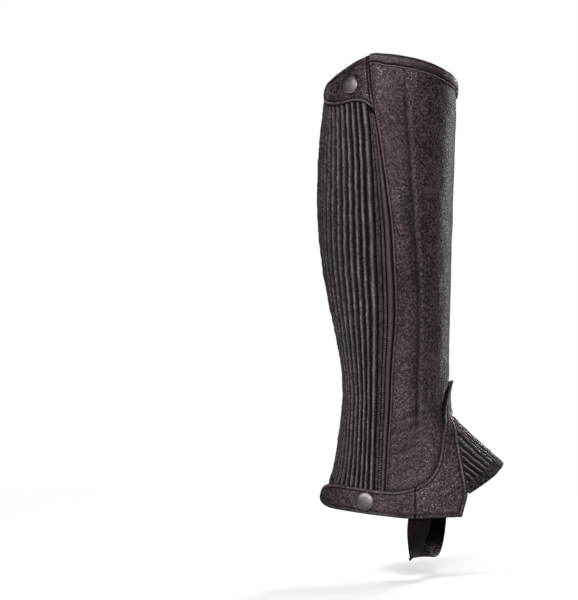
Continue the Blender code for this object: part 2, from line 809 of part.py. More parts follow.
def turned(name, profile, place, normal, finish, steps=20):
    """A round piece from a profile of (radius, height) rows, its axis along the normal at place."""
    bm = bmesh.new()
    points = [bm.verts.new((radius, 0, height)) for radius, height in profile]
    edges = [bm.edges.new(pair) for pair in zip(points, points[1:])]
    bmesh.ops.spin(
        bm,
        geom=points + edges,
        cent=(0, 0, 0),
        axis=(0, 0, 1),
        angle=2 * math.pi,
        steps=steps,
        use_merge=True,
    )
    bmesh.ops.remove_doubles(bm, verts=bm.verts, dist=1e-6)
    made = object_from(bm, name, finish)
    made.rotation_mode = "QUATERNION"
    made.rotation_quaternion = Vector(normal).to_track_quat("Z", "Y")
    made.location = place
    return made


def snap(name, place, out):
    """The domed cap of a press stud, seated on the leather."""
    x, height = place
    turn = turn_of(x, height, -1)
    seat, beyond = form_point(turn, height, out + seam_gap), form_point(turn, height, 0.05)
    normal = (beyond - form_point(turn, height)) / 0.05
    radius = snap_diameter / 2
    cap = (
        (0, 0),
        (radius * 0.86, 0),
        (radius, 0.35 * snap_rise),
        (radius * 0.92, 0.62 * snap_rise),
        (radius * 0.62, 0.9 * snap_rise),
        (0, snap_rise),
    )
    turned(name, cap, seat, normal, metal_finish)


def snaps():
    snap("upper_snap", upper_snap_place, 1.6 * mm + 1.5 * mm + strap_leather)
    snap("lower_snap", lower_snap_place, leather + overlay_gap + 1.3 * mm + strap_leather)


for existing in list(bpy.data.objects):
    bpy.data.objects.remove(existing)

parts = bpy.data.collections.new("half_chap")
bpy.context.scene.collection.children.link(parts)

leather_finish = material("black_brown_leather", brown_black, 0.5)
piping_finish = material("smooth_piping", piping_brown, 0.45)
binding_finish = material("rolled_binding", brown_black, 0.4)
suede_finish = material("toe_edging", suede_grey, 0.8)
tape_finish = material("zip_tape", tape_black, 0.7)
elastic_finish = material("elastic_webbing", tape_black, 0.85)
metal_finish = material("gunmetal", gunmetal, 0.35, 0.9)

main_leather()
pleated_calf()
zip_fastening()
top_binding()
hem_binding()
calf_patch()
ankle_piece()
lower_strap()
upper_tab()
toe_piece()
toe_binding()
foot_strap()
snaps()
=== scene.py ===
# Leather half chap for the right leg: finishes, sewing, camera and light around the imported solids.
# +X points to the toe, -Y to the outer side, +Z up the leg. Everything is in metres.
import math

import bmesh
import bpy
import numpy as np
from mathutils import Matrix, Vector
from mathutils.bvhtree import BVHTree


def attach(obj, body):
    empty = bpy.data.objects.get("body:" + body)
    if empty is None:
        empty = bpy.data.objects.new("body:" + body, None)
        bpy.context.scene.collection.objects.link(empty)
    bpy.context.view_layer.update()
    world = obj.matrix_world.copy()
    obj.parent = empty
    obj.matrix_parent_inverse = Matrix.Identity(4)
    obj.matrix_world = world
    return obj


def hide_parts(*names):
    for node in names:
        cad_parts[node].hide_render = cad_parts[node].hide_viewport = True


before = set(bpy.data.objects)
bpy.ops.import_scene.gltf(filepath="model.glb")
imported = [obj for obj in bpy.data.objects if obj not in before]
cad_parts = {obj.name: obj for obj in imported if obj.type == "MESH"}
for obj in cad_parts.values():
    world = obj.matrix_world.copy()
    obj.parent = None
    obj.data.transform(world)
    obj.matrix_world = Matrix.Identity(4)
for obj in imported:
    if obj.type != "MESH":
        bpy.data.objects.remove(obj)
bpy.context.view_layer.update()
scene = bpy.context.scene
mm = 0.001
print("frame loaded")

# The leg form, in millimetres from the top down; squareness 2 is an oval and more is boxier
legForm = {
    "squareness": 2.3,
    "columns": ("height", "back", "front", "halfWidth", "centre"),
    "rows": (
        (150, -46.5, 61.2, 46.5, 6.0),
        (112, -51.6, 60.8, 48.0, 4.0),
        (84, -55.2, 60.3, 49.2, 2.0),
        (58, -57.9, 59.6, 50.0, 0.5),
        (22, -59.7, 58.7, 50.5, -0.5),
        (-14, -59.4, 57.8, 50.0, -0.5),
        (-50, -55.8, 56.9, 47.8, 0.5),
        (-86, -49.5, 56.4, 44.5, 3.0),
        (-122, -41.7, 55.6, 40.8, 6.5),
        (-148, -37.2, 55.1, 38.3, 8.5),
        (-162, -36.2, 55.0, 37.3, 9.0),
        (-176, -36.1, 55.0, 36.8, 9.0),
        (-184, -36.7, 55.8, 36.6, 9.0),
        (-190, -37.4, 58.4, 36.6, 9.0),
        (-196, -38.1, 63.6, 36.7, 9.0),
        (-203, -38.9, 70.8, 37.0, 9.0),
        (-212, -40.0, 80.6, 37.3, 8.5),
        (-221, -41.3, 91.0, 37.8, 8.0),
        (-230, -42.7, 101.0, 38.3, 7.5),
        (-239, -44.7, 111.0, 38.8, 7.0),
        (-252, -48.3, 124.0, 39.5, 6.0),
        (-266, -52.3, 137.0, 40.0, 5.0),
        (-285, -57.0, 152.0, 40.5, 4.0),
    ),
}

# Turns are degrees round the leg: 0 front, 90 outer side, 180 back, 270 inner side
rimEdge = {
    "columns": ("turn", "height"),
    "rows": (
        (-20, 104.7), (0, 106.5), (17, 111.5), (36, 117.6), (50, 122.2), (62, 125.3), (80, 128.4),
        (97, 130.2), (110, 130.0), (118, 127.3), (128, 123.4), (140, 116.8), (155, 108.8),
        (168, 103.6), (180, 101.8), (200, 101.7), (230, 105.2), (270, 108.2), (310, 106.2),
        (340, 104.7), (360, 106.5),
    ),
}

hemEdge = {
    "columns": ("turn", "height"),
    "rows": (
        (20, -275.2), (45, -275.8), (70, -276.0), (90, -275.4), (105, -274.2), (125, -271.5),
        (150, -264.0), (165, -257.5), (180, -251.8), (200, -249.5), (215, -250.3), (232, -252.0),
        (243, -254.0), (267, -259.0), (277, -263.0), (305, -273.7), (315, -275.4), (340, -275.2),
    ),
}

# The leather's edge along the zip in side view, and the width of the zip's strips behind it
zipLine = {
    "columns": ("height", "edgeX", "strips"),
    "rows": (
        (134, -17.6, 5.0), (105, -15.8, 5.0), (80, -12.4, 5.6), (60, -8.8, 7.2), (40, -5.8, 9.0),
        (20, -2.7, 11.0), (0, 0.0, 12.8), (-20, 2.5, 14.0), (-50, 4.6, 15.2), (-81, 6.5, 15.6),
        (-103, 6.8, 15.0), (-125, 5.5, 13.6), (-150, 3.9, 12.2), (-180, 3.0, 11.6),
        (-212, 1.1, 10.6), (-244, -0.5, 9.8), (-275, -1.6, 9.6),
    ),
}

backSeam = {
    "columns": ("height", "edgeX"),
    "rows": (
        (125, -40.5), (95, -44.5), (60, -50.0), (25, -52.0), (-5, -50.0), (-35, -44.5),
        (-65, -38.5), (-95, -31.0), (-120, -25.5), (-140, -23.2), (-165, -24.0), (-190, -27.0),
        (-215, -31.0), (-240, -35.0), (-262, -38.5),
    ),
}


def clamped(value):
    return np.clip(value, 0, 1)


def tableColumn(table, name):
    column = table["columns"].index(name)
    return np.array([row[column] for row in table["rows"]], float)


def lastRow(table):
    return len(table["rows"]) - 1


def smoothRead(at, known, values):
    # a smooth curve through the known points, straight past its ends
    order = np.argsort(known)
    known, values = known[order], values[order]
    steps = np.diff(known)
    rises = np.diff(values) / steps
    slopes = np.empty_like(values)
    slopes[1:-1] = (rises[:-1] * steps[1:] + rises[1:] * steps[:-1]) / (steps[:-1] + steps[1:])
    slopes[0], slopes[-1] = rises[0], rises[-1]
    at = np.asarray(at, float)
    span = np.clip(np.searchsorted(known, at) - 1, 0, len(steps) - 1)
    width = steps[span]
    t = clamped((at - known[span]) / width)
    past = at - np.clip(at, known[0], known[-1])
    endSlope = np.where(past < 0, slopes[0], slopes[-1])
    inside = (
        (2 * t**3 - 3 * t**2 + 1) * values[span]
        + (t**3 - 2 * t**2 + t) * width * slopes[span]
        + (3 * t**2 - 2 * t**3) * values[span + 1]
        + (t**3 - t**2) * width * slopes[span + 1]
    )
    return inside + past * endSlope


def readRows(table, at, scale=1):
    # every column of a table, where at counts its rows
    known = np.arange(len(table["rows"]), dtype=float)
    return [smoothRead(at, known, tableColumn(table, name) * scale) for name in table["columns"]]


def reader(table, key, name, keyScale=mm):
    known, values = tableColumn(table, key) * keyScale, tableColumn(table, name) * mm
    return lambda at: smoothRead(at, known, values)


backAt = reader(legForm, "height", "back")
frontAt = reader(legForm, "height", "front")
halfWidthAt = reader(legForm, "height", "halfWidth")
centreAt = reader(legForm, "height", "centre")
rimAt = reader(rimEdge, "turn", "height", 1)
hemAt = reader(hemEdge, "turn", "height", 1)
zipEdgeAt = reader(zipLine, "height", "edgeX")
zipStripsAt = reader(zipLine, "height", "strips")
backSeamAt = reader(backSeam, "height", "edgeX")


def bareForm(turn, height):
    angle = np.radians(turn)
    c, s = np.cos(angle), np.sin(angle)
    centre, power = centreAt(height), legForm["squareness"]
    reach = np.where(c >= 0, frontAt(height) - centre, centre - backAt(height))
    share = (np.abs(c) / reach) ** power + (np.abs(s) / halfWidthAt(height)) ** power
    radius = share ** (-1 / power)
    return np.stack([centre + radius * c, -radius * s, height + 0 * radius], axis=-1)


def formPoint(turn, height, out=0.0):
    # points on the leg form, moved out from it along its normal
    turn, height, out = np.broadcast_arrays(np.asarray(turn, float), height, out)
    point = bareForm(turn, height)
    if not np.any(out):
        return point
    littleTurn, littleHeight = 0.2, 0.2 * mm
    across = bareForm(turn + littleTurn, height) - bareForm(turn - littleTurn, height)
    along = bareForm(turn, height + littleHeight) - bareForm(turn, height - littleHeight)
    normal = np.cross(along, across)
    normal /= np.linalg.norm(normal, axis=-1, keepdims=True)
    return point + normal * out[..., None]


def turnOf(x, height, side, out=0.0):
    # the turn with this side-view x; side is -1 on the outer side and 1 on the inner side
    x, height = np.broadcast_arrays(np.asarray(x, float), height)
    low, high = np.zeros(x.shape), np.full(x.shape, 180.0)
    for _ in range(26):
        middle = (low + high) / 2
        ahead = formPoint(middle, height, out)[..., 0] > x
        low, high = np.where(ahead, middle, low), np.where(ahead, high, middle)
    turn = (low + high) / 2
    return turn if side < 0 else 360 - turn


def degreesFor(length, turn, height):
    step = 0.5
    moved = bareForm(turn + step, height) - bareForm(turn - step, height)
    return length * 2 * step / np.linalg.norm(moved, axis=-1)


def spaced(count, low=0.0, high=1.0):
    return np.linspace(low, high, count + 1)


def between(first, last, share):
    return first + (last - first) * share


def zipTurnAt(height, share):
    # share 0 is the leather's edge and 1 the first pleat
    edge = turnOf(zipEdgeAt(height), height, -1)
    return edge + degreesFor(zipStripsAt(height) * share, edge, height)


def backSeamTurnAt(height):
    return turnOf(backSeamAt(height), height, 1)


def meeting(turnAt, heightAt):
    # where seam lines meet an edge whose height changes round the leg
    turn = 150.0
    for _ in range(12):
        height = heightAt(turn)
        turn = turnAt(height)
    return turn, heightAt(turn)


def signedTurns(x, height, side, out):
    outer, inner = turnOf(x, height, -1, out), turnOf(x, height, 1, out) - 360
    return np.where(side < 0, outer, np.where(side > 0, inner, 0.0))


def gridLengths(points, axis):
    # length of each row (axis 1) or column (axis 0) of a grid of points
    return np.linalg.norm(np.diff(points, axis=axis), axis=-1).sum(axis=axis)


# Grid lines close to a panel's edges, so that its rounded edge and stitched groove have form
edgeLines = np.array((0, 0.22, 0.5, 0.85, 1.3, 1.8, 2.3, 2.8, 3.3, 4.0, 5.0)) * mm


def edgeShares(length, count):
    # shares from 0 to 1 of each length: the edge lines at both ends, and even in between
    near = edgeLines / np.asarray(length, float)[..., None]
    near = np.minimum(near, between(0, 0.45, spaced(len(edgeLines) - 1)))
    first, last = near[..., -1:], 1 - near[..., -1:]
    return np.concatenate([near, between(first, last, spaced(count)[1:-1]), 1 - near[..., ::-1]], -1)


def softNoise(u, v, seed):
    # smooth noise of about 1 across, from -1 to 1, the same on each run
    random = np.random.default_rng(seed)
    total = 0
    for _ in range(7):
        angle, phase, size = random.uniform(0, math.tau, 2).tolist() + [random.uniform(0.7, 1.5)]
        total = total + np.sin((u * math.cos(angle) + v * math.sin(angle)) * math.tau / size + phase)
    return total / 3.5


def roundedEdge(distance, radius):
    inside = clamped(1 - distance / radius)
    return -radius * (1 - np.sqrt(np.maximum(1 - inside**2, 0)))


def bell(distance, width):
    return np.exp(-((distance / width) ** 2))


def ridge(distance, at, width, height):
    return height * bell(distance - at, width)


def runAlong(points):
    # how far along a line of points each of them lies
    return np.concatenate([[0], np.cumsum(np.linalg.norm(np.diff(points, axis=0), axis=1))])


def outlineLoop(grid):
    return np.concatenate([grid[0], grid[1:, -1], grid[-1, -2::-1], grid[-2:0:-1, 0], grid[:1, 0]])


def nearestDistance(points, line):
    # distance of each point of a grid from the nearest point of a line
    return np.stack([np.linalg.norm(row[:, None] - line[None], axis=-1).min(1) for row in points])


def edgeDistance(points, joined=None):
    # distance of each point of a grid from the grid's own outline, less the part that is joined
    loop = outlineLoop(points)
    along = runAlong(loop)
    fine = np.arange(0, along[-1], 0.4 * mm)
    outline = np.stack([np.interp(fine, along, loop[:, k]) for k in range(3)], -1)
    if joined is not None:
        outline = outline[np.interp(fine, along, outlineLoop(joined)) < 0.5]
    return nearestDistance(points, outline)


# Materials


def setInputs(tree, node, inputs):
    # sockets are linked, and constants are set on the inputs
    for key, value in inputs.items():
        if isinstance(value, bpy.types.NodeSocket):
            tree.links.new(value, node.inputs[key])
        else:
            node.inputs[key].default_value = value


def addNode(tree, kind, inputs=None, **settings):
    made = tree.nodes.new(kind)
    for key, value in settings.items():
        setattr(made, key, value)
    setInputs(tree, made, inputs or {})
    return made


def addGroup(tree, group, inputs):
    return addNode(tree, "ShaderNodeGroup", inputs, node_tree=group).outputs


def maths(tree, operation, first, second=0.0, third=0.0):
    made = addNode(tree, "ShaderNodeMath", {0: first, 1: second, 2: third}, operation=operation)
    return made.outputs[0]


def vectorMaths(tree, operation, first, second, third=(0.0, 0.0, 0.0)):
    inputs = {0: first, 1: second, 2: third}
    return addNode(tree, "ShaderNodeVectorMath", inputs, operation=operation).outputs[0]


def mixColors(tree, factor, first, second, blend="MIX"):
    inputs = {0: factor, 6: first, 7: second}
    made = addNode(tree, "ShaderNodeMix", inputs, data_type="RGBA", blend_type=blend)
    return made.outputs[2]


def noise(tree, vector, scale, detail, roughness=0.5, output="Fac"):
    inputs = {"Vector": vector, "Scale": scale, "Detail": detail, "Roughness": roughness}
    return addNode(tree, "ShaderNodeTexNoise", inputs).outputs[output]


def smoothRange(tree, value, low, high, first=0.0, last=1.0):
    inputs = {"Value": value, "From Min": low, "From Max": high, "To Min": first, "To Max": last}
    return addNode(tree, "ShaderNodeMapRange", inputs, interpolation_type="SMOOTHSTEP").outputs[0]


def bump(tree, height, distance, **below):
    return addNode(tree, "ShaderNodeBump", {"Height": height, "Distance": distance, **below}).outputs[0]


def attribute(tree, name):
    return addNode(tree, "ShaderNodeAttribute", attribute_name=name).outputs["Fac"]


def newGroup(name, inputs, outputs):
    # an input without a value is a vector, one with a tuple a colour and one with a number a float
    tree = bpy.data.node_groups.new(name, "ShaderNodeTree")
    for socketName, value in inputs.items():
        kind = "Vector" if value is None else "Color" if isinstance(value, tuple) else "Float"
        socket = tree.interface.new_socket(socketName, in_out="INPUT", socket_type="NodeSocket" + kind)
        if value is not None:
            socket.default_value = value
    for socketName, kind in outputs.items():
        tree.interface.new_socket(socketName, in_out="OUTPUT", socket_type="NodeSocket" + kind)
    return tree, addNode(tree, "NodeGroupInput").outputs, addNode(tree, "NodeGroupOutput")


def leatherGrainGroup():
    # pebbled grain: cells between fine creases, on slightly wandering coordinates
    tree, given, result = newGroup(
        "leatherGrain", {"Vector": None, "Cells": 700.0}, {"Height": "Float", "Crevice": "Float"}
    )
    wander = noise(tree, given["Vector"], 420.0, 2.0, output="Color")
    shift = vectorMaths(tree, "SUBTRACT", wander, (0.5, 0.5, 0.5))
    moved = vectorMaths(tree, "MULTIPLY_ADD", shift, (0.0011, 0.0011, 0.0011), given["Vector"])
    inputs = {"Vector": moved, "Scale": given["Cells"], "Randomness": 1.0}
    cells = addNode(tree, "ShaderNodeTexVoronoi", inputs, feature="DISTANCE_TO_EDGE")
    fromEdge = cells.outputs["Distance"]
    pebble = maths(tree, "MINIMUM", maths(tree, "MULTIPLY", fromEdge, 2.2), 1.0)
    dust = maths(tree, "MULTIPLY", noise(tree, given["Vector"], 1900.0, 3.0, 0.6), 0.12)
    crevice = smoothRange(tree, fromEdge, 0.0, 0.2, 1.0, 0.0)
    setInputs(tree, result, {"Height": maths(tree, "ADD", pebble, dust), "Crevice": crevice})
    return tree


def toneDriftGroup():
    # the slow light and dark patches of a dyed hide
    tree, given, result = newGroup(
        "toneDrift",
        {"Vector": None, "Dark": (0.02, 0.02, 0.02, 1), "Light": (0.05, 0.05, 0.05, 1)},
        {"Color": "Color", "Drift": "Float"},
    )
    broad = noise(tree, given["Vector"], 34.0, 3.0, 0.55)
    spots = maths(tree, "MULTIPLY", noise(tree, given["Vector"], 440.0, 2.0, 0.6), 1.4)
    drift = smoothRange(tree, maths(tree, "MULTIPLY_ADD", broad, 0.4, spots), 0.72, 1.14)
    mixed = mixColors(tree, drift, given["Dark"], given["Light"])
    setInputs(tree, result, {"Color": mixed, "Drift": drift})
    return tree


def wrinkleGroup():
    # long fine wrinkles across the piece's own UV map, turned by Angle
    tree, given, result = newGroup(
        "fineWrinkles",
        {"UV": None, "Angle": 0.6, "Across": 400.0, "Along": 90.0},
        {"Height": "Float"},
    )
    turning = {"Vector": given["UV"], "Angle": given["Angle"]}
    turned = addNode(tree, "ShaderNodeVectorRotate", turning, rotation_type="Z_AXIS")
    scaling = {"X": given["Across"], "Y": given["Along"], "Z": 1.0}
    scales = addNode(tree, "ShaderNodeCombineXYZ", scaling)
    stretched = vectorMaths(tree, "MULTIPLY", turned.outputs[0], scales.outputs[0])
    lines = noise(tree, stretched, 1.0, 2.0, 0.45)
    setInputs(tree, result, {"Height": smoothRange(tree, lines, 0.34, 0.66)})
    return tree


def weaveGroup():
    # threads crossing over and under on the piece's own UV map
    tree, given, result = newGroup(
        "threadWeave", {"UV": None, "Ribs": 900.0, "Picks": 1500.0}, {"Height": "Float"}
    )
    parts = addNode(tree, "ShaderNodeSeparateXYZ", {0: given["UV"]}).outputs
    turnU, turnV = (
        maths(tree, "MULTIPLY", maths(tree, "MULTIPLY", part, given[count]), math.tau)
        for part, count in ((parts[0], "Ribs"), (parts[1], "Picks"))
    )
    woven = maths(tree, "MULTIPLY", maths(tree, "SINE", turnU), maths(tree, "SINE", turnV))
    ribs = maths(tree, "MULTIPLY", maths(tree, "COSINE", turnU), 0.6)
    total = maths(tree, "ADD", maths(tree, "MULTIPLY", woven, 0.4), ribs)
    setInputs(tree, result, {"Height": maths(tree, "MULTIPLY_ADD", total, 0.5, 0.5)})
    return tree


grainTree = leatherGrainGroup()
toneTree = toneDriftGroup()
wrinkleTree = wrinkleGroup()
weaveTree = weaveGroup()


def newMaterial(name):
    made = bpy.data.materials.new(name)
    made.use_nodes = True
    tree = made.node_tree
    coords = addNode(tree, "ShaderNodeTexCoord").outputs
    return made, tree, tree.nodes["Principled BSDF"], coords


def addTone(tree, coords, dark, light):
    return addGroup(tree, toneTree, {"Vector": coords["Object"], "Dark": dark, "Light": light})


def grey(value, warm=0.0):
    # a near-black with a little reddish brown in it
    return (value * (1 + warm), value, value * (1 + 0.06 * warm), 1)


# edge is the lighter colour that the edge mark mixes in: wear, and painted highlights on crests, beads
# and rounded edges
leatherSettings = {
    "grainedLeather": {
        "dark": grey(0.006, 0.8), "light": grey(0.060, 0.4), "edge": grey(0.14, 0.35), "roughness": 0.28,
        "cells": 430.0, "grainDepth": 0.0002, "wrinkleAngles": (-0.64, 1.05), "wrinkleDepth": 0.001,
        "wrinkleShine": 0.4,
    },
    "pleatedLeather": {
        "dark": grey(0.003, 0.5), "light": grey(0.044, 0.3), "edge": grey(0.32, 0.2), "roughness": 0.30,
        "cells": 600.0, "grainDepth": 0.0002, "wrinkleAngles": (0.64, 1.05), "wrinkleDepth": 0.0011,
        "wrinkleShine": 0.1,
    },
    "bindingLeather": {
        "dark": grey(0.008, 0.5), "light": grey(0.030, 0.4), "edge": grey(0.20, 0.3), "roughness": 0.26,
        "cells": 800.0, "grainDepth": 0.00012, "wrinkleAngles": (1.4, 1.05), "wrinkleDepth": 0.0003,
        "wrinkleShine": 0.0,
    },
    "pipingLeather": {
        "dark": grey(0.030, 0.5), "light": grey(0.055, 0.5), "edge": grey(0.13, 0.3), "roughness": 0.32,
        "cells": 900.0, "grainDepth": 0.00008, "wrinkleAngles": (1.4, 1.05), "wrinkleDepth": 0.0001,
        "wrinkleShine": 0.0,
    },
}


# How dark the grain's crevices get (partly painted shade), the near-black of the painted shade, how much
# the edge mark lifts the colour with wear and painted highlights, and the wrinkles' fineness
leatherShared = {
    "crevice": (0.002, 0.0012, 0.0012, 1),
    "hollow": (0.001, 0.0006, 0.0006, 1),
    "creviceDepth": 0.6,
    "wearAndSheenLift": 0.6,
    "tint": (1.0, 0.9, 0.92, 1),
    "shine": 0.22,
    "wrinkles": {"Across": 540.0, "Along": 90.0},
}


def leatherMaterial(name):
    settings, shared = leatherSettings[name], leatherShared
    made, tree, shader, coords = newMaterial(name)
    edge, hollow, wrinkled, wrinkledUp = (
        attribute(tree, shade) for shade in ("edge", "hollow", "wrinkle", "wrinkleUp")
    )
    grain = addGroup(tree, grainTree, {"Vector": coords["Object"], "Cells": settings["cells"]})
    tone = addTone(tree, coords, settings["dark"], settings["light"])
    lines = {"UV": coords["UV"], **shared["wrinkles"]}
    wrinkles, wrinklesUp = (
        addGroup(tree, wrinkleTree, {"Angle": angle, **lines})["Height"]
        for angle in settings["wrinkleAngles"]
    )
    folded = maths(tree, "MULTIPLY", wrinkles, wrinkled)
    folded = maths(tree, "MULTIPLY_ADD", wrinklesUp, wrinkledUp, folded)
    # the edge mark lifts the colour with wear and painted highlights; wrinkleShine adds a painted
    # highlight along the wrinkles
    lifted = maths(tree, "MULTIPLY", edge, shared["wearAndSheenLift"])
    lifted = maths(tree, "MULTIPLY_ADD", folded, settings["wrinkleShine"], lifted)
    lightening = mixColors(tree, lifted, tone["Color"], settings["edge"])
    # the grain's crevices darker: the grain's own colour, deepened as painted shade
    crevice = maths(tree, "MULTIPLY", grain["Crevice"], shared["creviceDepth"])
    shaded = mixColors(tree, crevice, lightening, shared["crevice"])
    # rougher in the crevices and under the painted shade, smoother on the light patches and on the
    # lightened edges and crests
    deep = maths(tree, "MAXIMUM", crevice, hollow)
    rough = maths(tree, "MULTIPLY_ADD", deep, 0.4, settings["roughness"] + 0.08)
    rough = maths(tree, "MULTIPLY_ADD", tone["Drift"], -0.16, rough)
    folds = bump(tree, folded, settings["wrinkleDepth"])
    # the hollow mark mixes in near-black: painted shade in creases, valleys, grooves and beside laid
    # pieces
    finish = {
        "Base Color": mixColors(tree, hollow, shaded, shared["hollow"]),
        "Roughness": maths(tree, "MULTIPLY_ADD", edge, -0.08, rough),
        "Specular Tint": shared["tint"],
        "Specular IOR Level": shared["shine"],
        "Normal": bump(tree, grain["Height"], settings["grainDepth"], Normal=folds),
    }
    setInputs(tree, shader, finish)
    return made


def clothMaterial(name, dark, light, roughness, ribs, picks, depth):
    made, tree, shader, coords = newMaterial(name)
    tone = addTone(tree, coords, dark, light)
    weave = addGroup(tree, weaveTree, {"UV": coords["UV"], "Ribs": ribs, "Picks": picks})["Height"]
    shade = mixColors(tree, weave, (0.35, 0.35, 0.35, 1), (1.0, 1.0, 1.0, 1))
    colour = mixColors(tree, 1.0, tone["Color"], shade, "MULTIPLY")
    lightening = maths(tree, "MULTIPLY", attribute(tree, "edge"), tone["Drift"])
    finish = {
        "Base Color": mixColors(tree, lightening, colour, grey(0.1, 0.3)),
        "Roughness": maths(tree, "MULTIPLY_ADD", weave, -0.1, roughness),
        "Specular IOR Level": 0.06,
        "Normal": bump(tree, weave, depth),
    }
    setInputs(tree, shader, finish)
    return made


def suedeMaterial(name, dark, light, sheen):
    # brushed nap: short soft fibres with patches lying different ways
    made, tree, shader, coords = newMaterial(name)
    tone = addTone(tree, coords, dark, light)
    nap = noise(tree, coords["Object"], 1500.0, 3.0, 0.7)
    fibres = maths(tree, "MULTIPLY_ADD", nap, 0.9, 0.5)
    shade = addNode(tree, "ShaderNodeCombineXYZ", {"X": fibres, "Y": fibres, "Z": fibres})
    finish = {
        "Base Color": mixColors(tree, 1.0, tone["Color"], shade.outputs[0], "MULTIPLY"),
        "Roughness": 0.88,
        "Sheen Weight": sheen,
        "Sheen Roughness": 0.55,
        "Specular IOR Level": 0.1,
        "Normal": bump(tree, nap, 0.00016),
    }
    setInputs(tree, shader, finish)
    return made


def metalMaterial(name):
    # gunmetal plating, brushed by wear, dimmed by a painted shade mark
    made, tree, shader, coords = newMaterial(name)
    tone = addTone(tree, coords, grey(0.16, 0.1), grey(0.22, 0.1))
    scratches = noise(tree, coords["Object"], 1400.0, 4.0, 0.6)
    finish = {
        "Base Color": mixColors(tree, attribute(tree, "paintedStudShade"), tone["Color"], grey(0.045, 0.2)),
        "Metallic": 1.0,
        "Roughness": maths(tree, "MULTIPLY_ADD", scratches, 0.2, 0.34),
        "Normal": bump(tree, scratches, 0.00002),
    }
    setInputs(tree, shader, finish)
    return made


grainedLeather = leatherMaterial("grainedLeather")
pleatedLeather = leatherMaterial("pleatedLeather")
bindingLeather = leatherMaterial("bindingLeather")
pipingLeather = leatherMaterial("pipingLeather")
fleshSide = suedeMaterial("fleshSide", grey(0.020, 0.5), grey(0.042, 0.5), 0.15)
toeSuede = suedeMaterial("toeSuede", grey(0.004, 0.25), grey(0.036, 0.3), 0.02)
stretchLining = clothMaterial("stretchLining", grey(0.006), grey(0.012), 0.85, 900.0, 1200.0, 0.00015)
zipCloth = clothMaterial("zipCloth", grey(0.003, 0.3), grey(0.009, 0.3), 0.8, 1100.0, 1500.0, 0.0001)
elasticWebbing = clothMaterial(
    "elasticWebbing", grey(0.003, 0.8), grey(0.009, 0.7), 0.8, 900.0, 620.0, 0.00018
)
coilNylon = clothMaterial("coilNylon", grey(0.06, 0.3), grey(0.14, 0.3), 0.4, 400.0, 400.0, 0.00002)
sewingThread = clothMaterial("sewingThread", grey(0.003), grey(0.006), 0.7, 1500.0, 1500.0, 0.00003)
gunmetal = metalMaterial("gunmetal")
print("materials made")


# Walls and sewing


def finishMesh(bm, name, finishes, sharpAngle):
    bmesh.ops.recalc_face_normals(bm, faces=bm.faces)
    if bm.calc_volume(signed=True) < 0:
        bmesh.ops.reverse_faces(bm, faces=bm.faces)
    mesh = bpy.data.meshes.new(name)
    bm.to_mesh(mesh)
    bm.free()
    for finish in finishes:
        mesh.materials.append(finish)
    mesh.shade_smooth()
    mesh.set_sharp_from_angle(angle=math.radians(sharpAngle))
    made = bpy.data.objects.new(name, mesh)
    scene.collection.objects.link(made)
    return made


def place(piece, slot, *nodes):
    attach(piece, "root")
    if nodes:
        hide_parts(*nodes)
    return piece


def buildWall(name, inner, outer, finishes, uv, sharpAngle=44, **shades):
    # a grid extruded once: its two faces lie on the inner and the outer points
    rows, columns = inner.shape[0] - 1, inner.shape[1] - 1
    bm = bmesh.new()
    number = bm.verts.layers.int.new("number")
    bmesh.ops.create_grid(bm, x_segments=columns, y_segments=rows, size=1)
    for i, vert in enumerate(bm.verts):
        vert[number] = i
    made = bmesh.ops.extrude_face_region(bm, geom=bm.faces[:])["geom"]
    raised = {item for item in made if isinstance(item, bmesh.types.BMVert)}
    flatInner, flatOuter = inner.reshape(-1, 3), outer.reshape(-1, 3)
    for vert in bm.verts:
        vert.co = (flatOuter if vert in raised else flatInner)[vert[number]]
    if len(finishes) > 1:
        for face in bm.faces:
            face.material_index = 0 if any(vert in raised for vert in face.verts) else 1
    piece = finishMesh(bm, name, finishes, sharpAngle)
    mesh = piece.data
    corners, numbers = np.empty(len(mesh.loops), int), np.empty(len(mesh.vertices), int)
    mesh.loops.foreach_get("vertex_index", corners)
    mesh.attributes["number"].data.foreach_get("value", numbers)
    layer = mesh.uv_layers.new(name="UVMap")
    flatUv = np.stack(np.broadcast_arrays(*uv), -1).reshape(-1, 2)
    layer.data.foreach_set("uv", flatUv[numbers[corners]].astype(np.float32).ravel())
    for shadeName, values in shades.items():
        field = mesh.attributes.new(shadeName, "FLOAT", "POINT")
        flat = np.broadcast_to(values, inner.shape[:2]).reshape(-1)
        field.data.foreach_set("value", flat[numbers].astype(np.float32))
    mesh.attributes.remove(mesh.attributes["number"])
    return piece


def resample(points, spacing):
    # points at even steps of about this spacing along a line of points
    along = runAlong(points)
    at = spaced(max(2, round(along[-1] / spacing)), 0, along[-1])
    return np.stack([np.interp(at, along, points[:, k]) for k in range(3)], -1)


def surfaceOf(piece):
    mesh = piece.data
    return BVHTree.FromPolygons(
        [vert.co for vert in mesh.vertices], [face.vertices for face in mesh.polygons]
    )


def addBead(bm, seat, along, normal, sizes, segments):
    # a small ellipsoid that lies lengthwise along a line on a surface
    turned = Matrix((along, normal.cross(along), normal)).transposed().to_4x4()
    bmesh.ops.create_uvsphere(
        bm,
        u_segments=segments[0],
        v_segments=segments[1],
        radius=0.5,
        matrix=Matrix.Translation(seat) @ turned @ Matrix.Diagonal((*sizes, 1)),
    )


stitch = {
    "spacing": 3.1 * mm,
    "size": (1.9 * mm, 1.0 * mm, 1.0 * mm),
    "sunk": 0.2 * mm,
    "lineStep": 1.0 * mm,  # how finely a stitched line follows an outline
    "fewestSteps": 6,  # shorter lines are left out
    "edgeLine": 5,  # the grid line that a stitched line is measured from
}


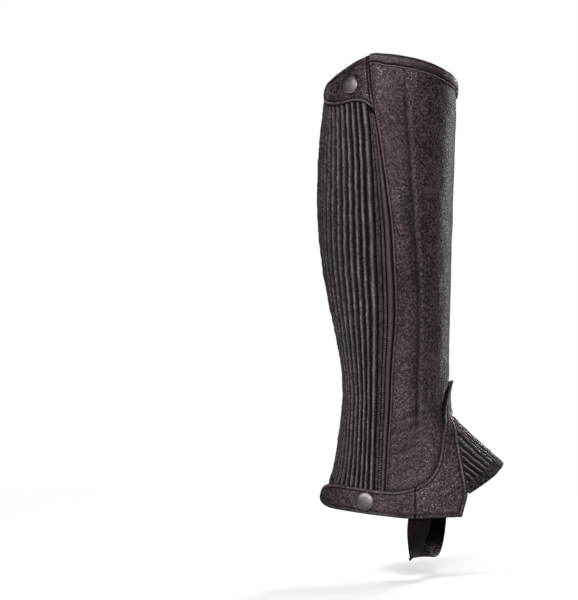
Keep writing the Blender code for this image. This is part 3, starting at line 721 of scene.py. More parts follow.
def sew(name, lines, panel):
    # stitches lie along lines of points, each seated on the panel's nearest face
    bm = bmesh.new()
    surface = surfaceOf(panel)
    for line in lines:
        points = resample(line, stitch["spacing"])
        for first, last in zip(points, points[1:]):
            seat, normal, _, _ = surface.find_nearest(Vector((first + last) / 2))
            along = Vector(last - first)
            along = (along - normal * along.dot(normal)).normalized()
            addBead(bm, seat - normal * stitch["sunk"], along, normal, stitch["size"], (6, 4))
    return place(finishMesh(bm, name, [sewingThread], 60), "leather")


def insetLines(panel, outer, distance, joined):
    # lines that run inside a grid's outline at this distance, broken where a corner cuts in
    start, fewest = stitch["edgeLine"], stitch["fewestSteps"]
    inner = outer[start:-start, start:-start]
    inward = distance - edgeLines[start]
    corners = outlineLoop(inner)
    seam = outlineLoop(joined[start:-start, start:-start])
    loop = resample(corners, stitch["lineStep"])[:-1]
    ahead = np.roll(loop, -2, axis=0) - np.roll(loop, 2, axis=0)
    surface = surfaceOf(panel)
    normals = np.array([surface.find_nearest(Vector(point))[1] for point in loop])
    side = np.cross(normals, ahead)
    side /= np.linalg.norm(side, axis=1, keepdims=True)
    side *= np.sign(((inner.reshape(-1, 3).mean(0) - loop) * side).sum())
    moved = loop + side * inward
    clear = np.array([np.linalg.norm(loop - point, axis=1).min() > 0.94 * inward for point in moved])
    nearest = [np.linalg.norm(corners - point, axis=1).argmin() for point in loop]
    clear &= ~seam[nearest]
    firstBreak = int(np.argmin(clear))
    moved, clear = np.roll(moved, -firstBreak, axis=0), np.roll(clear, -firstBreak)
    if clear.all():
        return [np.concatenate([moved, moved[:1]])]
    lines, run = [], []
    for point, good in zip(moved, clear):
        if good:
            run.append(point)
        elif len(run) > fewest:
            lines.append(np.array(run))
            run = []
    return lines + ([np.array(run)] if len(run) > fewest else [])


seamGap = 0.3 * mm

# The plain leather, and the creases pressed into its outer side (side-view places in millimetres)
mainPanel = {
    "thickness": 1.6 * mm,
    "rows": 196,
    "columns": 126,
    "flat": (0.240, 0.415),
    "area": 0.086,
    "foldRadius": 0.85 * mm,
    "foldRise": 0.45 * mm,
    "edgeWearAndSheenWidth": 1.5 * mm,
    "stitchLine": 3.3 * mm,
    "stitchesFrom": 0.09,  # share of the rows that the rim's binding covers
    "grooveDepth": 0.38 * mm,
    "restlessness": 0.28 * mm,
}

pressedCrease = {
    "depth": 1.05 * mm,
    "rearWidth": 6.0 * mm,
    "frontWidth": 1.7 * mm,
    "rise": 0.35 * mm,
    "shade": 1.15,
    "shadeWidth": 1.8 * mm,
    "softWidth": 4.5 * mm,
    "columns": ("height", "x"),
    "rows": (
        (113.6, 13.8), (81.0, 15.4), (43.1, 18.4), (1.7, 21.6), (-37.0, 24.6), (-68.8, 27.2),
        (-117.2, 27.9), (-179.8, 27.2), (-203.6, 27.2),
    ),
}

ankleCreases = {
    "columns": ("side", "rearX", "rearZ", "frontX", "frontZ", "bow", "width", "depth"),
    "rows": (
        (-1, 28.0, -178.5, 44.0, -178.0, 2.0, 1.7, 0.30),
        (-1, 31.0, -187.0, 49.0, -186.0, 2.4, 1.6, 0.42),
        (-1, 8.0, -196.0, 30.0, -184.0, 1.0, 1.8, 0.30),
        (-1, 6.0, -206.5, 36.0, -192.0, 1.6, 1.9, 0.42),
        (-1, 9.0, -214.5, 39.0, -202.0, 1.0, 1.7, 0.34),
        (-1, 5.0, -224.5, 35.0, -211.0, 1.4, 2.1, 0.45),
        (-1, 10.0, -233.0, 37.0, -221.5, 0.8, 1.8, 0.30),
        (-1, 4.0, -243.0, 28.0, -233.0, 1.2, 2.0, 0.36),
        (1, -16.0, -176.0, 22.0, -181.0, 1.6, 2.0, 0.34),
        (1, -21.0, -190.0, 34.0, -191.0, 2.6, 2.3, 0.50),
        (1, -18.0, -201.5, 27.0, -199.5, 1.2, 1.9, 0.38),
        (1, -25.0, -214.0, 36.0, -210.0, 2.2, 2.4, 0.46),
        (1, -22.0, -226.0, 20.0, -220.5, 1.0, 1.9, 0.34),
        (1, -27.0, -238.5, 30.0, -231.5, 1.8, 2.2, 0.40),
    ),
}

# The ankle piece in side view: side is -1 outer, 1 inner and 0 on the front line
ankleOutline = {
    "columns": ("rearSide", "rearX", "rearZ", "frontSide", "frontX", "frontZ"),
    "rows": (
        (-1, 25.6, -279.0, -1, 67.0, -277.5),
        (-1, 25.6, -265.0, -1, 69.6, -267.5),
        (-1, 26.0, -251.6, -1, 71.8, -258.5),
        (-1, 34.9, -246.2, -1, 71.0, -249.0),
        (-1, 41.2, -239.0, -1, 69.4, -240.5),
        (-1, 45.4, -230.5, -1, 67.6, -230.5),
        (-1, 48.0, -218.5, -1, 65.6, -220.0),
        (-1, 50.0, -205.0, -1, 63.4, -208.0),
        (-1, 51.8, -190.0, -1, 61.4, -198.0),
        (-1, 54.0, -176.5, -1, 58.8, -192.5),
        (-1, 57.0, -165.5, -1, 59.8, -189.0),
        (0, 0.0, -157.5, 0, 0.0, -187.6),
        (1, 54.6, -161.8, 1, 59.8, -189.0),
        (1, 50.4, -169.0, 1, 58.6, -192.5),
        (1, 47.6, -180.0, 1, 59.8, -199.0),
        (1, 45.4, -193.5, 1, 60.8, -209.5),
        (1, 44.2, -209.5, 1, 61.6, -220.0),
        (1, 43.4, -225.0, 1, 62.0, -232.0),
        (1, 42.2, -242.0, 1, 61.6, -246.0),
        (1, 41.0, -259.0, 1, 60.4, -260.0),
        (1, 40.6, -274.6, 1, 59.0, -274.6),
    ),
}

# The lower strap's edges and how far it stands off the leather, in degrees and millimetres
strapOutline = {
    "columns": ("turn", "top", "bottom", "lift"),
    "rows": (
        (62.0, -250.9, -279.2, 0.0), (72.0, -252.9, -278.8, 0.5), (84.0, -254.5, -278.0, 1.2),
        (98.0, -254.6, -276.8, 1.3), (112.0, -253.8, -275.8, 1.3), (126.0, -252.4, -274.4, 1.3),
        (138.0, -251.2, -273.2, 1.5), (148.0, -250.4, -272.4, 2.2), (156.0, -250.6, -271.4, 3.2),
        (162.0, -251.8, -269.6, 4.2), (166.5, -254.0, -267.0, 5.2), (169.0, -257.0, -263.6, 5.8),
    ),
}

# What the laid pieces share; joined is how near a seam their own edge has no stitches
overlay = {
    "thickness": 1.3 * mm,
    "gap": 0.45 * mm,
    "ankleGap": 1.1 * mm,
    "edgeRadius": 0.75 * mm,
    "edgeRise": 0.22 * mm,
    # the dark band at the outline: edge dye, and painted shadow of the gap under the edge
    "rimDyeAndShade": 0.75 * mm,
    # a light line inside the outline: wear, and a painted highlight on the rounded edge
    "wearAndSheenLine": 1.75 * mm,
    "grooveWidth": 0.75 * mm,
    "grooveDepth": 0.34 * mm,
    "grooveShade": 0.9,
    "restlessness": 0.14 * mm,
    "joined": 2.3 * mm,
    "shadow": 0.75,
    "shadowReach": 2.8 * mm,
}


def ankleLine(share, at):
    # share 0 is the ankle piece's rear edge and 1 its front edge; at counts its table's rows
    known = np.arange(len(ankleOutline["rows"]), dtype=float)
    out = mainPanel["thickness"] + overlay["ankleGap"] + overlay["thickness"]
    lines = []
    for edge in ("rear", "front"):
        side, x, height = (tableColumn(ankleOutline, edge + part) for part in ("Side", "X", "Z"))
        turn = signedTurns(x * mm, height * mm, side, out)
        lines.append((smoothRead(at, known, turn), smoothRead(at, known, height * mm)))
    (rearTurn, rearHeight), (frontTurn, frontHeight) = lines
    return between(rearTurn, frontTurn, share), between(rearHeight, frontHeight, share)


def leatherLine(height, share):
    first = zipTurnAt(height, 0.0)
    last = backSeamTurnAt(height) - 360
    return between(first, last + degreesFor(seamGap / 2, last, height), share)


def creaseRelief(points, turn):
    # every crease on a panel's points, as soft troughs that fade out at both ends, and its shade
    x, z = points[..., 0] / mm, points[..., 2] / mm
    side = np.where((turn % 360) < 180, -1, 1)
    centre = smoothRead(z, tableColumn(pressedCrease, "height"), tableColumn(pressedCrease, "x"))
    off = (x - centre) * mm
    width = np.where(off < 0, pressedCrease["rearWidth"], pressedCrease["frontWidth"])
    fade = clamped((z + 214) / 30) * clamped((122 - z) / 25) * (side < 0)
    relief = -pressedCrease["depth"] * bell(off, width) * fade
    relief = relief + ridge(off, 4.5 * mm, 2.5 * mm, pressedCrease["rise"]) * fade
    shade = bell(off, pressedCrease["shadeWidth"])
    shade = shade + 0.4 * bell(off, pressedCrease["softWidth"]) * (off < 0)
    shade = pressedCrease["shade"] * shade / 1.4 * fade
    for row in ankleCreases["rows"]:
        which, rearX, rearZ, frontX, frontZ, bow, wide, depth = row
        reach = np.array((frontX - rearX, frontZ - rearZ))
        length = np.hypot(*reach)
        along = ((x - rearX) * reach[0] + (z - rearZ) * reach[1]) / length**2
        arched = 4 * bow * clamped(along) * clamped(1 - along)
        off = ((z - rearZ) * reach[0] - (x - rearX) * reach[1]) / length - arched
        soft = clamped(along * 4) * clamped((1 - along) * 4)
        crease = bell(off, wide) - 0.5 * bell(off - 2.2 * wide, 1.5 * wide)
        relief = relief - 1.7 * depth * mm * crease * soft**0.7 * (side == which)
        shade = shade + depth * bell(off, wide) * soft * (side == which)
    return relief, shade


def overlayShade(points):
    # painted shadow on the plain leather behind the ankle piece and above the strap
    rear = formPoint(*ankleLine(0.0, spaced(150, 2, lastRow(ankleOutline))))
    strapTurn, strapTop = (tableColumn(strapOutline, name) for name in ("turn", "top"))
    strap = resample(formPoint(strapTurn, strapTop * mm), 2 * mm)
    away = nearestDistance(points, np.concatenate([rear, strap]))
    return overlay["shadow"] * bell(away, overlay["shadowReach"])


def makeMainLeather():
    panel = mainPanel
    coarse = spaced(60)

    def edge(heightAt, share):
        return meeting(lambda height: leatherLine(height, share), lambda turn: heightAt(turn % 360))

    _, top = edge(rimAt, coarse)
    zipFoot, seamFoot = edge(hemAt, np.array(0.0))[0], edge(hemAt, np.array(1.0))[0]
    # the lower edge runs along the hem to the ankle piece, and hidden under it over the front
    marks = (0.0, 0.17, 0.72, 1.0)
    underTurn, underHeight = ankleLine(0.55, spaced(24, 0, lastRow(ankleOutline)))
    outerTurn = spaced(6, zipFoot, underTurn[0])[:-1]
    innerTurn = spaced(10, underTurn[-1], seamFoot)[1:]
    lowTurn = np.concatenate([outerTurn, underTurn, innerTurn])
    low = np.concatenate([hemAt(outerTurn), underHeight, hemAt(innerTurn % 360)])
    lowShare = (lowTurn - leatherLine(low, 0.0)) / (leatherLine(low, 1.0) - leatherLine(low, 0.0))
    lowAt = np.interp(np.arange(41), (0, 6, 30, 40), marks)
    # rows lie closer together over the ankle, where the creases are
    down = np.interp(spaced(panel["rows"]), (0, 0.46, 0.92, 1), (0, 0.62, 0.94, 1))[:, None]

    def grid(share):
        rowTop, rowLow = smoothRead(share, coarse, top), smoothRead(share, lowAt, low)
        height = between(rowTop, rowLow, down)
        turn = leatherLine(height, between(share, smoothRead(share, lowAt, lowShare), down**2))
        return turn, height

    width = gridLengths(formPoint(*grid(coarse[None, :]), panel["thickness"]), 1)
    share = edgeShares(width, panel["columns"])
    turn, height = grid(share)
    around = share * width[:, None]
    fromZip, fromSeam = around, width[:, None] - around
    surface = formPoint(turn, height, panel["thickness"])
    relief, shade = creaseRelief(surface, turn)
    shade = np.maximum(shade, overlayShade(formPoint(turn, height)))
    restless = softNoise(around / (34 * mm), height / (62 * mm), 3)
    restless = restless + 0.5 * softNoise(around / (13 * mm), height / (19 * mm), 4)
    relief = relief + panel["restlessness"] * restless * clamped(fromZip / (12 * mm))
    for away in (fromZip, fromSeam):
        relief = relief + roundedEdge(away, panel["foldRadius"])
        relief = relief + ridge(away, 1.3 * mm, 0.9 * mm, panel["foldRise"])
        relief = relief - ridge(away, panel["stitchLine"], 0.7 * mm, panel["grooveDepth"])
    x, z = surface[..., 0] / mm, height / mm
    outerSide = (turn > 0) & (turn < 180)
    # where wrinkles gather, in side view and millimetres
    upper = bell(x - 4, 13) * bell(z - 60, 36) * outerSide
    lower = bell(x - 18, 20) * bell(z + 210, 42) * outerSide
    innerLow = 0.8 * bell(x - 5, 26) * bell(z + 208, 40) * ~outerSide
    zipEdgeWearAndSheen = bell(fromZip, panel["edgeWearAndSheenWidth"]) * clamped((90 - z) / 8)
    outer = formPoint(turn, height, panel["thickness"] + relief)
    # painted shade in the creases and painted shadow round the ankle piece and strap; the zip and seam
    # edges lighter from wear and a painted highlight on the fold
    piece = buildWall(
        "mainLeather",
        formPoint(turn, height),
        outer,
        [grainedLeather, fleshSide],
        (around, height),
        edge=zipEdgeWearAndSheen + bell(fromSeam, panel["edgeWearAndSheenWidth"]),
        hollow=shade,
        wrinkle=upper,
        wrinkleUp=lower + innerLow,
    )
    stitched = int(np.argmin(np.abs(edgeLines - panel["stitchLine"])))
    below = slice(int(panel["rows"] * panel["stitchesFrom"]), None)
    lines = [outer[below, stitched], outer[below, -1 - stitched]]
    stitches = sew("seamStitches", lines, piece)
    return place(piece, "leather", "main_leather")


makeMainLeather()
print("plain leather made")

# The elastic leather at the back, gathered in pleats
pleats = {
    "count": 18,
    "zipPleatWidth": 1.3,
    "columnsEach": 8,
    "rows": 262,
    "valley": 0.55 * mm,
    "crest": 2.75 * mm,
    "fullness": 1.2,
    "flatEnds": 1.2 * mm,
    "sway": 0.055,
    "crinkle": 0.30 * mm,
    "flat": (0.165, 0.385),
    "area": 0.056,
}


def pleatProfile(at):
    # 0 in the valleys and 1 on the crests, with narrow valleys
    return np.abs(np.sin(np.pi * at)) ** pleats["fullness"]


def makePleatedCalf():
    each, count = pleats["columnsEach"], pleats["count"]
    at = spaced(each * count, 0, count)
    run = at - np.minimum(at, 1) + pleats["zipPleatWidth"] * np.minimum(at, 1)
    share = run / run[-1]

    def line(height, share):
        first, last = zipTurnAt(height, 1.0), backSeamTurnAt(height)
        return between(first, last - degreesFor(seamGap / 2, last, height), share)

    _, top = meeting(lambda height: line(height, share), rimAt)
    _, low = meeting(lambda height: line(height, share), hemAt)
    down = spaced(pleats["rows"])[:, None]
    height = between(top, low, down)
    fromEnd = np.minimum(top - height, height - low)
    inside = clamped((fromEnd - 7 * mm) / (4 * mm))
    inside = inside**2 * (3 - 2 * inside)
    # each pleat wanders a little to either side, together with its neighbours
    number = np.minimum(np.floor(at), count - 1)
    sway = softNoise(number * 0.23, height / (26 * mm), 11)
    sway = sway + 0.5 * softNoise(number * 1.7, height / (11 * mm), 12)
    ends = np.minimum(1, np.minimum(at, count - at))
    swayed = share + pleats["sway"] * sway * ends * inside / run[-1]
    turn = line(height, swayed)
    profile = pleatProfile(at)
    swell = 1 + 0.10 * softNoise(number * 2.3, height / (17 * mm), 13)
    swell = swell + 0.05 * softNoise(number * 5.1, height / (7 * mm), 14)
    out = pleats["valley"] + (pleats["crest"] - pleats["valley"]) * profile * swell
    slant = height / (5.2 * mm) - at * 1.4 + 0.6 * softNoise(number * 3.1, height / (9 * mm), 15)
    strength = np.clip(softNoise(number * 1.3, height / (31 * mm), 16) + 0.55, 0.1, 1)
    out = out + pleats["crinkle"] * np.sin(math.tau * slant) * profile * strength
    out = between(pleats["flatEnds"], out, inside)
    around = share * gridLengths(formPoint(turn, height), 1)[:, None]
    # painted highlight along the crests and painted shade in the valleys, both darker towards the back
    piece = buildWall(
        "pleatedCalf",
        formPoint(turn, height),
        formPoint(turn, height, out),
        [pleatedLeather, stretchLining],
        (around, height),
        sharpAngle=70,
        edge=profile**7 * inside * (0.45 + 0.55 * strength) * np.clip(1.2 - 0.09 * at, 0.15, 1),
        hollow=clamped(1.22 + 0.03 * at - 1.7 * profile) * inside,
        wrinkle=(0.4 + 0.6 * strength) * profile,
    )
    return place(piece, "pleated_leather", "pleated_calf")


makePleatedCalf()
print("pleats made")

# The closed zip: strips between shares of its width, from the tab's lower edge down to the hem
zipSettings = {
    "guard": {
        "first": 0.12, "last": 0.42, "below": 49.0 * mm, "aboveHem": 0.4 * mm,
        "inside": 0.0, "out": 0.5 * mm, "crown": 1.75 * mm, "grid": (220, 10),
    },
    "teeth": {
        "first": 0.47, "last": 0.67, "below": 47.4 * mm, "aboveHem": 0.4 * mm,
        "inside": 0.0, "out": 0.7 * mm, "crown": 0.2 * mm, "grid": (160, 6),
    },
    "edge": {
        "first": 0.72, "last": 0.96, "below": 45.8 * mm, "aboveHem": 0.4 * mm,
        "inside": 0.0, "out": 0.9 * mm, "crown": 0.35 * mm, "grid": (200, 8),
    },
    "tape": {
        "first": -0.30, "last": 1.45, "below": 9.0 * mm, "aboveHem": 8.0 * mm,
        "inside": -1.3 * mm, "out": -0.3 * mm, "crown": 0.0, "grid": (120, 12),
    },
    "coil": {
        "pitch": 2.3 * mm, "size": (3.4 * mm, 1.35 * mm, 1.485 * mm), "slant": 40, "raised": 0.15 * mm
    },
    "flat": (0.03, 0.38),
    "area": 0.0088,
}


def zipGrid(settings, rows, columns):
    last = settings["last"]
    _, top = meeting(lambda h: zipTurnAt(h, last), rimAt)
    _, low = meeting(lambda h: zipTurnAt(h, last), hemAt)
    height = spaced(rows, top - settings["below"], low + settings["aboveHem"])[:, None]
    across = spaced(columns)[None, :]
    turn = zipTurnAt(height, between(settings["first"], last, across))
    return turn, height + 0 * turn, across


def makeZipStrip(name, settings, finish, **shades):
    turn, height, across = zipGrid(settings, *settings["grid"])
    dome = np.sqrt(clamped(1 - (2 * across - 1) ** 2))
    out = settings["out"] + settings["crown"] * dome
    width = gridLengths(formPoint(turn, height), 1)[:, None]
    return buildWall(
        name,
        formPoint(turn, height, settings["inside"]),
        formPoint(turn, height, out),
        [finish],
        (across * width, height),
        **shades,
    )


def makeZip():
    guard = makeZipStrip("zipGuard", zipSettings["guard"], pipingLeather, edge=0.3)
    place(guard, "piping", "zip_guard")
    strip = makeZipStrip("zipEdgeStrip", zipSettings["edge"], pleatedLeather)
    place(strip, "zip", "zip_edge_strip")
    base = makeZipStrip("zipTeethTape", zipSettings["teeth"], zipCloth)
    place(base, "zip")
    # the coil: slanted turns of nylon one above another
    coil = zipSettings["coil"]
    turn, height, _ = zipGrid(zipSettings["teeth"], 400, 2)
    line = resample(formPoint(turn, height, 1.0 * mm)[:, 1], coil["pitch"])
    surface = surfaceOf(base)
    lean = math.radians(coil["slant"])
    bm = bmesh.new()
    for first, last in zip(line, line[1:]):
        seat, normal, _, _ = surface.find_nearest(Vector((first + last) / 2))
        along = Vector(last - first).normalized()
        across = along.cross(normal).normalized()
        slanted = (across * math.cos(lean) + along * math.sin(lean)).normalized()
        addBead(bm, seat + normal * coil["raised"], slanted, normal, coil["size"], (8, 5))
    teeth = place(finishMesh(bm, "zipTeeth", [coilNylon], 60), "zip", "zip_teeth")
    tape = makeZipStrip("zipTape", zipSettings["tape"], zipCloth)
    place(tape, "zip", "zip_tape")


makeZip()
print("zip made")

# Rolled bindings: leather over a near gap, with a narrow bead along the rim binding's lower edge
binding = {
    "leather": 1.2 * mm,
    "near": 0.3 * mm,
    "rimCover": 7.5 * mm,
    "hemCover": 8.5 * mm,
    "hiddenCover": 5.5 * mm,
    "puff": 0.3 * mm,
    "waver": 0.16 * mm,
    "beadDrop": 1.6 * mm,
    "beadWidth": 1.5 * mm,
    "cornerTurn": 101.0,
    "cornerRise": 2.6 * mm,
    "cornerNarrow": 0.2,
    "rimFlat": (0.022, 0.335),
    "rimArea": 0.0072,
    "hemFlat": (0.020, 0.195),
    "hemArea": 0.0039,
}


def rolledProfile(cover, bead):
    # rows from the outside over the edge to the hidden side: how far beyond the edge and how far out
    # the inner and the outer face lie, and the share of the bound wall's thickness under them
    near, far = binding["near"], binding["near"] + binding["leather"]
    rows = []
    if bead:
        centre, half = -cover - binding["beadDrop"], binding["beadWidth"] / 2
        for step in spaced(6, -1, 1)[:-1]:
            past = centre + half * step
            rise = 0.25 * mm + 0.95 * mm * math.sqrt(1 - step**2)
            rows.append((past, near * 0.5, past, near * 0.5 + rise, 1.0))
        rows.append((-cover - 0.65 * mm, near * 0.5, -cover - 0.65 * mm, near + 0.2 * mm, 1.0))
    for share in (0.0, 0.03, 0.08, 0.2, 0.4, 0.6, 0.8, 1.0):
        past = -cover * (1 - share)
        corner = 0.6 * mm * (1 - min(1, share / 0.08)) ** 2
        rise = binding["puff"] * math.sin(math.pi * share) ** 0.7
        rows.append((past, near, past, far + rise - corner, 1.0))
    for step in spaced(6)[1:-1]:
        angle = math.pi * step
        out, past = 0.5 + 0.5 * math.cos(angle), math.sin(angle)
        rows.append((near * past, near * (2 * out - 1), far * past, far * (2 * out - 1), out))
    for share in (0.0, 0.35, 0.7, 1.0):
        past = -binding["hiddenCover"] * share
        rows.append((past, -near, past, -far, 0.0))
    return np.array(rows)


def makeBinding(name, turn, edgeHeight, up, thick, cover, bead, waver, narrow=1.0):
    profile = rolledProfile(cover, bead)
    innerPast, innerOut, outerPast, outerOut, cloth = (profile[:, k][:, None] for k in range(5))
    wave = waver * clamped(cloth - 0.5) * 2
    inner = formPoint(turn, edgeHeight + up * innerPast * narrow, innerOut + cloth * thick)
    outer = formPoint(turn, edgeHeight + up * outerPast * narrow, outerOut + cloth * thick + wave)
    length = runAlong(inner[0])
    onBead = outerPast + cover + binding["beadDrop"]
    # painted highlight on the band and the bead, and painted shade in the grooves beside the bead and
    # over the rolled edge
    lightening = ridge(outerPast, -2.6 * mm, 1.5 * mm, 0.35) + ridge(onBead, 0, 0.6 * mm, 1.3) * cloth
    groove = bell(outerPast + cover + 0.3 * mm, 0.7 * mm) + bell(onBead + 0.75 * mm, 0.4 * mm)
    groove = groove + 0.85 * clamped(1 + outerPast / (0.5 * mm))
    return buildWall(
        name,
        inner,
        outer,
        [bindingLeather],
        (length[None, :], outerPast + 0 * length[None, :]),
        edge=np.broadcast_to(lightening, inner.shape[:2]),
        hollow=np.broadcast_to(groove * cloth, inner.shape[:2]),
        wrinkle=0.5,
    )


def wallThicknessAt(turn, seamTurn):
    onPleats = clamped((seamTurn - 1 - turn) / 6)
    return between(mainPanel["thickness"], pleats["flatEnds"], onPleats)


def makeBindings():
    start, top = meeting(lambda h: zipTurnAt(h, 0.0), rimAt)
    end, _ = meeting(lambda h: zipTurnAt(h, 1.0), rimAt)
    seam, _ = meeting(backSeamTurnAt, rimAt)
    turn = spaced(330, start - degreesFor(2 * seamGap, start, top), end - 360)
    roundTurn = turn % 360
    thick = np.where(turn > 0, mainPanel["thickness"], wallThicknessAt(roundTurn, seam))
    onPleats = (turn < seam - 360 - 1) * 1.0
    waver = binding["waver"] * softNoise(turn / 9, 0, 21)
    waver = waver + 0.12 * mm * np.sin(turn * 0.88) * onPleats
    corner = clamped((turn - binding["cornerTurn"]) / (start - binding["cornerTurn"]))
    rimHeight = rimAt(roundTurn) + binding["cornerRise"] * corner**1.5
    narrow = 1 - binding["cornerNarrow"] * corner**0.7
    rim = makeBinding(
        "topBinding", roundTurn, rimHeight, 1, thick, binding["rimCover"], True, waver, narrow
    )
    place(rim, "binding", "top_binding")

    start, _ = meeting(lambda h: zipTurnAt(h, 1.0), hemAt)
    seam, _ = meeting(backSeamTurnAt, hemAt)
    ankleRear, corner = (ankleLine(share, lastRow(ankleOutline))[0] + 360 for share in (0.0, 1.0))
    turn = spaced(260, start, corner)
    onAnkle = clamped((turn - ankleRear + 9) / 4)
    onAnkle = onAnkle**2 * (3 - 2 * onAnkle)
    thick = wallThicknessAt(turn, seam) + (overlay["ankleGap"] + overlay["thickness"]) * onAnkle
    waver = binding["waver"] * softNoise(turn / 9, 0, 22)
    hem = makeBinding("hemBinding", turn, hemAt(turn), -1, thick, binding["hemCover"], False, waver)
    place(hem, "binding", "hem_binding")


makeBindings()
print("bindings made")


def makeOverlay(
    name, settings, turn, height, inner, uv, restsOn, node, dents=0.0, lightening=1.0, joined=None, **shades
):
    # a flat piece with a rounded edge and a stitched groove along its outline, but for a joined part
    stitchAt, top = settings["stitchAt"], inner + settings["thickness"]
    flat = formPoint(turn, height, top)
    joined = np.zeros(flat.shape[:2], bool) if joined is None else joined
    whole, away = edgeDistance(flat), edgeDistance(flat, joined)
    relief = roundedEdge(whole, overlay["edgeRadius"])
    relief = relief + ridge(away, 1.5 * mm, 1.0 * mm, overlay["edgeRise"])
    grooves = [bell(away - distance, overlay["grooveWidth"]) for distance in stitchAt]
    relief = relief - overlay["grooveDepth"] * sum(grooves)
    restless = softNoise(uv[0] / (11 * mm), uv[1] / (14 * mm), 31) * clamped(away / (5 * mm))
    relief = relief + overlay["restlessness"] * restless + dents
    outer = formPoint(turn, height, top + relief)
    # the light line is wear and a painted highlight; painted shade lies on the outline and in the stitch
    # grooves
    piece = buildWall(
        name,
        formPoint(turn, height, inner),
        outer,
        [grainedLeather, fleshSide],
        uv,
        edge=ridge(away, overlay["wearAndSheenLine"], 0.7 * mm, lightening),
        hollow=bell(whole, overlay["rimDyeAndShade"]) + overlay["grooveShade"] * sum(grooves),
        **shades,
    )
    lines = [line for distance in stitchAt for line in insetLines(piece, outer, distance, joined)]
    stitches = sew(name + "Stitches", lines, piece)
    place(piece, "leather", node)


# The reinforcement on the inner side of the calf, in side view
calfPatch = {
    "thickness": overlay["thickness"],
    "rows": 96,
    "columns": 44,
    "stitchAt": (3.3 * mm, 10.5 * mm),
    "flat": (0.097, 0.225),
    "area": 0.0178,
    "outline": {
        "columns": ("height", "rearX", "frontX"),
        "rows": (
            (75.5, 2.0, 31.0), (74.0, -13.0, 39.5), (69.0, -25.0, 45.5), (60.0, -32.5, 49.3),
            (45.0, -36.0, 51.5), (16.0, -34.0, 52.5), (-15.0, -31.0, 51.8), (-46.0, -28.0, 51.2),
            (-94.0, -21.0, 50.0), (-118.0, -17.0, 48.8), (-130.0, -13.5, 46.8),
            (-139.5, -7.5, 42.0), (-146.0, 1.5, 34.0), (-148.5, 11.0, 25.0),
        ),
    },
}


def makeCalfPatch():
    outline = calfPatch["outline"]
    fineAt = spaced(400, 0, lastRow(outline))
    fineHeight = readRows(outline, fineAt, mm)[0]
    length = fineHeight[0] - fineHeight[-1]
    wanted = edgeShares(length, calfPatch["rows"]) * length
    at = np.interp(wanted, fineHeight[0] - fineHeight, fineAt)
    height, rear, front = (column[:, None] for column in readRows(outline, at, mm))
    inner = mainPanel["thickness"] + overlay["gap"]
    out = inner + calfPatch["thickness"]
    rearTurn, frontTurn = turnOf(rear, height, 1, out), turnOf(front, height, 1, out)
    width = gridLengths(formPoint(between(rearTurn, frontTurn, spaced(12)[None, :]), height, out), 1)
    share = edgeShares(width, calfPatch["columns"])
    turn = between(rearTurn, frontTurn, share)
    height = height + 0 * turn
    uv = (share * width[:, None] + rear, height)
    makeOverlay(
        "calfPatch", calfPatch, turn, height, inner, uv, "mainLeather", "calf_patch", lightening=0.4
    )


makeCalfPatch()

# The leather over the front of the ankle, forked down both sides of the toe piece
anklePiece = {
    "thickness": overlay["thickness"],
    "along": 250,
    "across": 26,
    "tipStandsOff": 2.0 * mm,
    "stitchAt": (3.3 * mm,),
    "joinedRows": 2.05,  # down the outer fork, where the strap is sewn on
    "flat": (0.16, 0.125),
    "area": 0.0066,
}


def makeAnklePiece():
    inner = mainPanel["thickness"] + overlay["ankleGap"]
    out = inner + anklePiece["thickness"]
    fineAt = spaced(300, 0, lastRow(ankleOutline))
    along = runAlong(formPoint(*ankleLine(0.5, fineAt), out))
    at = np.interp(edgeShares(along[-1], anklePiece["along"]) * along[-1], along, fineAt)
    width = gridLengths(formPoint(*ankleLine(spaced(6)[:, None], at), out), 0)
    share = edgeShares(width, anklePiece["across"]).T
    turn, height = ankleLine(share, at)
    tip = bell(turn, 16) * clamped((height + 172 * mm) / (14 * mm)) ** 2
    lift = anklePiece["tipStandsOff"] * tip
    uv = (share * width, 0 * share + np.interp(at, fineAt, along))
    makeOverlay(
        "anklePiece",
        anklePiece,
        turn,
        height,
        inner + lift,
        uv,
        "mainLeather",
        "ankle_piece",
        lightening=clamped((height + 254 * mm) / (8 * mm)),
        joined=(uv[0] < overlay["joined"]) & (at < anklePiece["joinedRows"]),
    )


makeAnklePiece()

studs = {
    "radius": 8.25 * mm,
    "rise": 3.0 * mm,
    "rim": 0.9 * mm,
    "facing": 0.22,
    "upper": (-34.4 * mm, 104.4 * mm),
    "lower": (-19.0 * mm, -264.0 * mm),
    # how the painted shade leans on each cap: the upper cap darker above, the lower cap darker below
    "upperShadeLean": 0.75,
    "lowerShadeLean": -0.25,
    "upperOut": 4.7 * mm,  # the cap's distance from the leg form
    "lowerOut": 4.95 * mm,
}


def studDent(turn, height, placeName, depth=0.55 * mm):
    # leather drawn in round a press stud
    x, z = studs[placeName]
    centre = formPoint(turnOf(x, z, -1, 5 * mm), z)
    away = np.linalg.norm(formPoint(turn, height) - centre, axis=-1)
    return -depth * bell(np.maximum(away - studs["radius"], 0), 1.8 * mm)


# The strap from the ankle piece back over the zip's foot to its round end
lowerStrap = {
    "thickness": 1.6 * mm,
    "rows": 26,
    "along": 92,
    "stitchAt": (3.3 * mm,),
    "flat": (0.028, 0.100),
    "area": 0.0023,
}


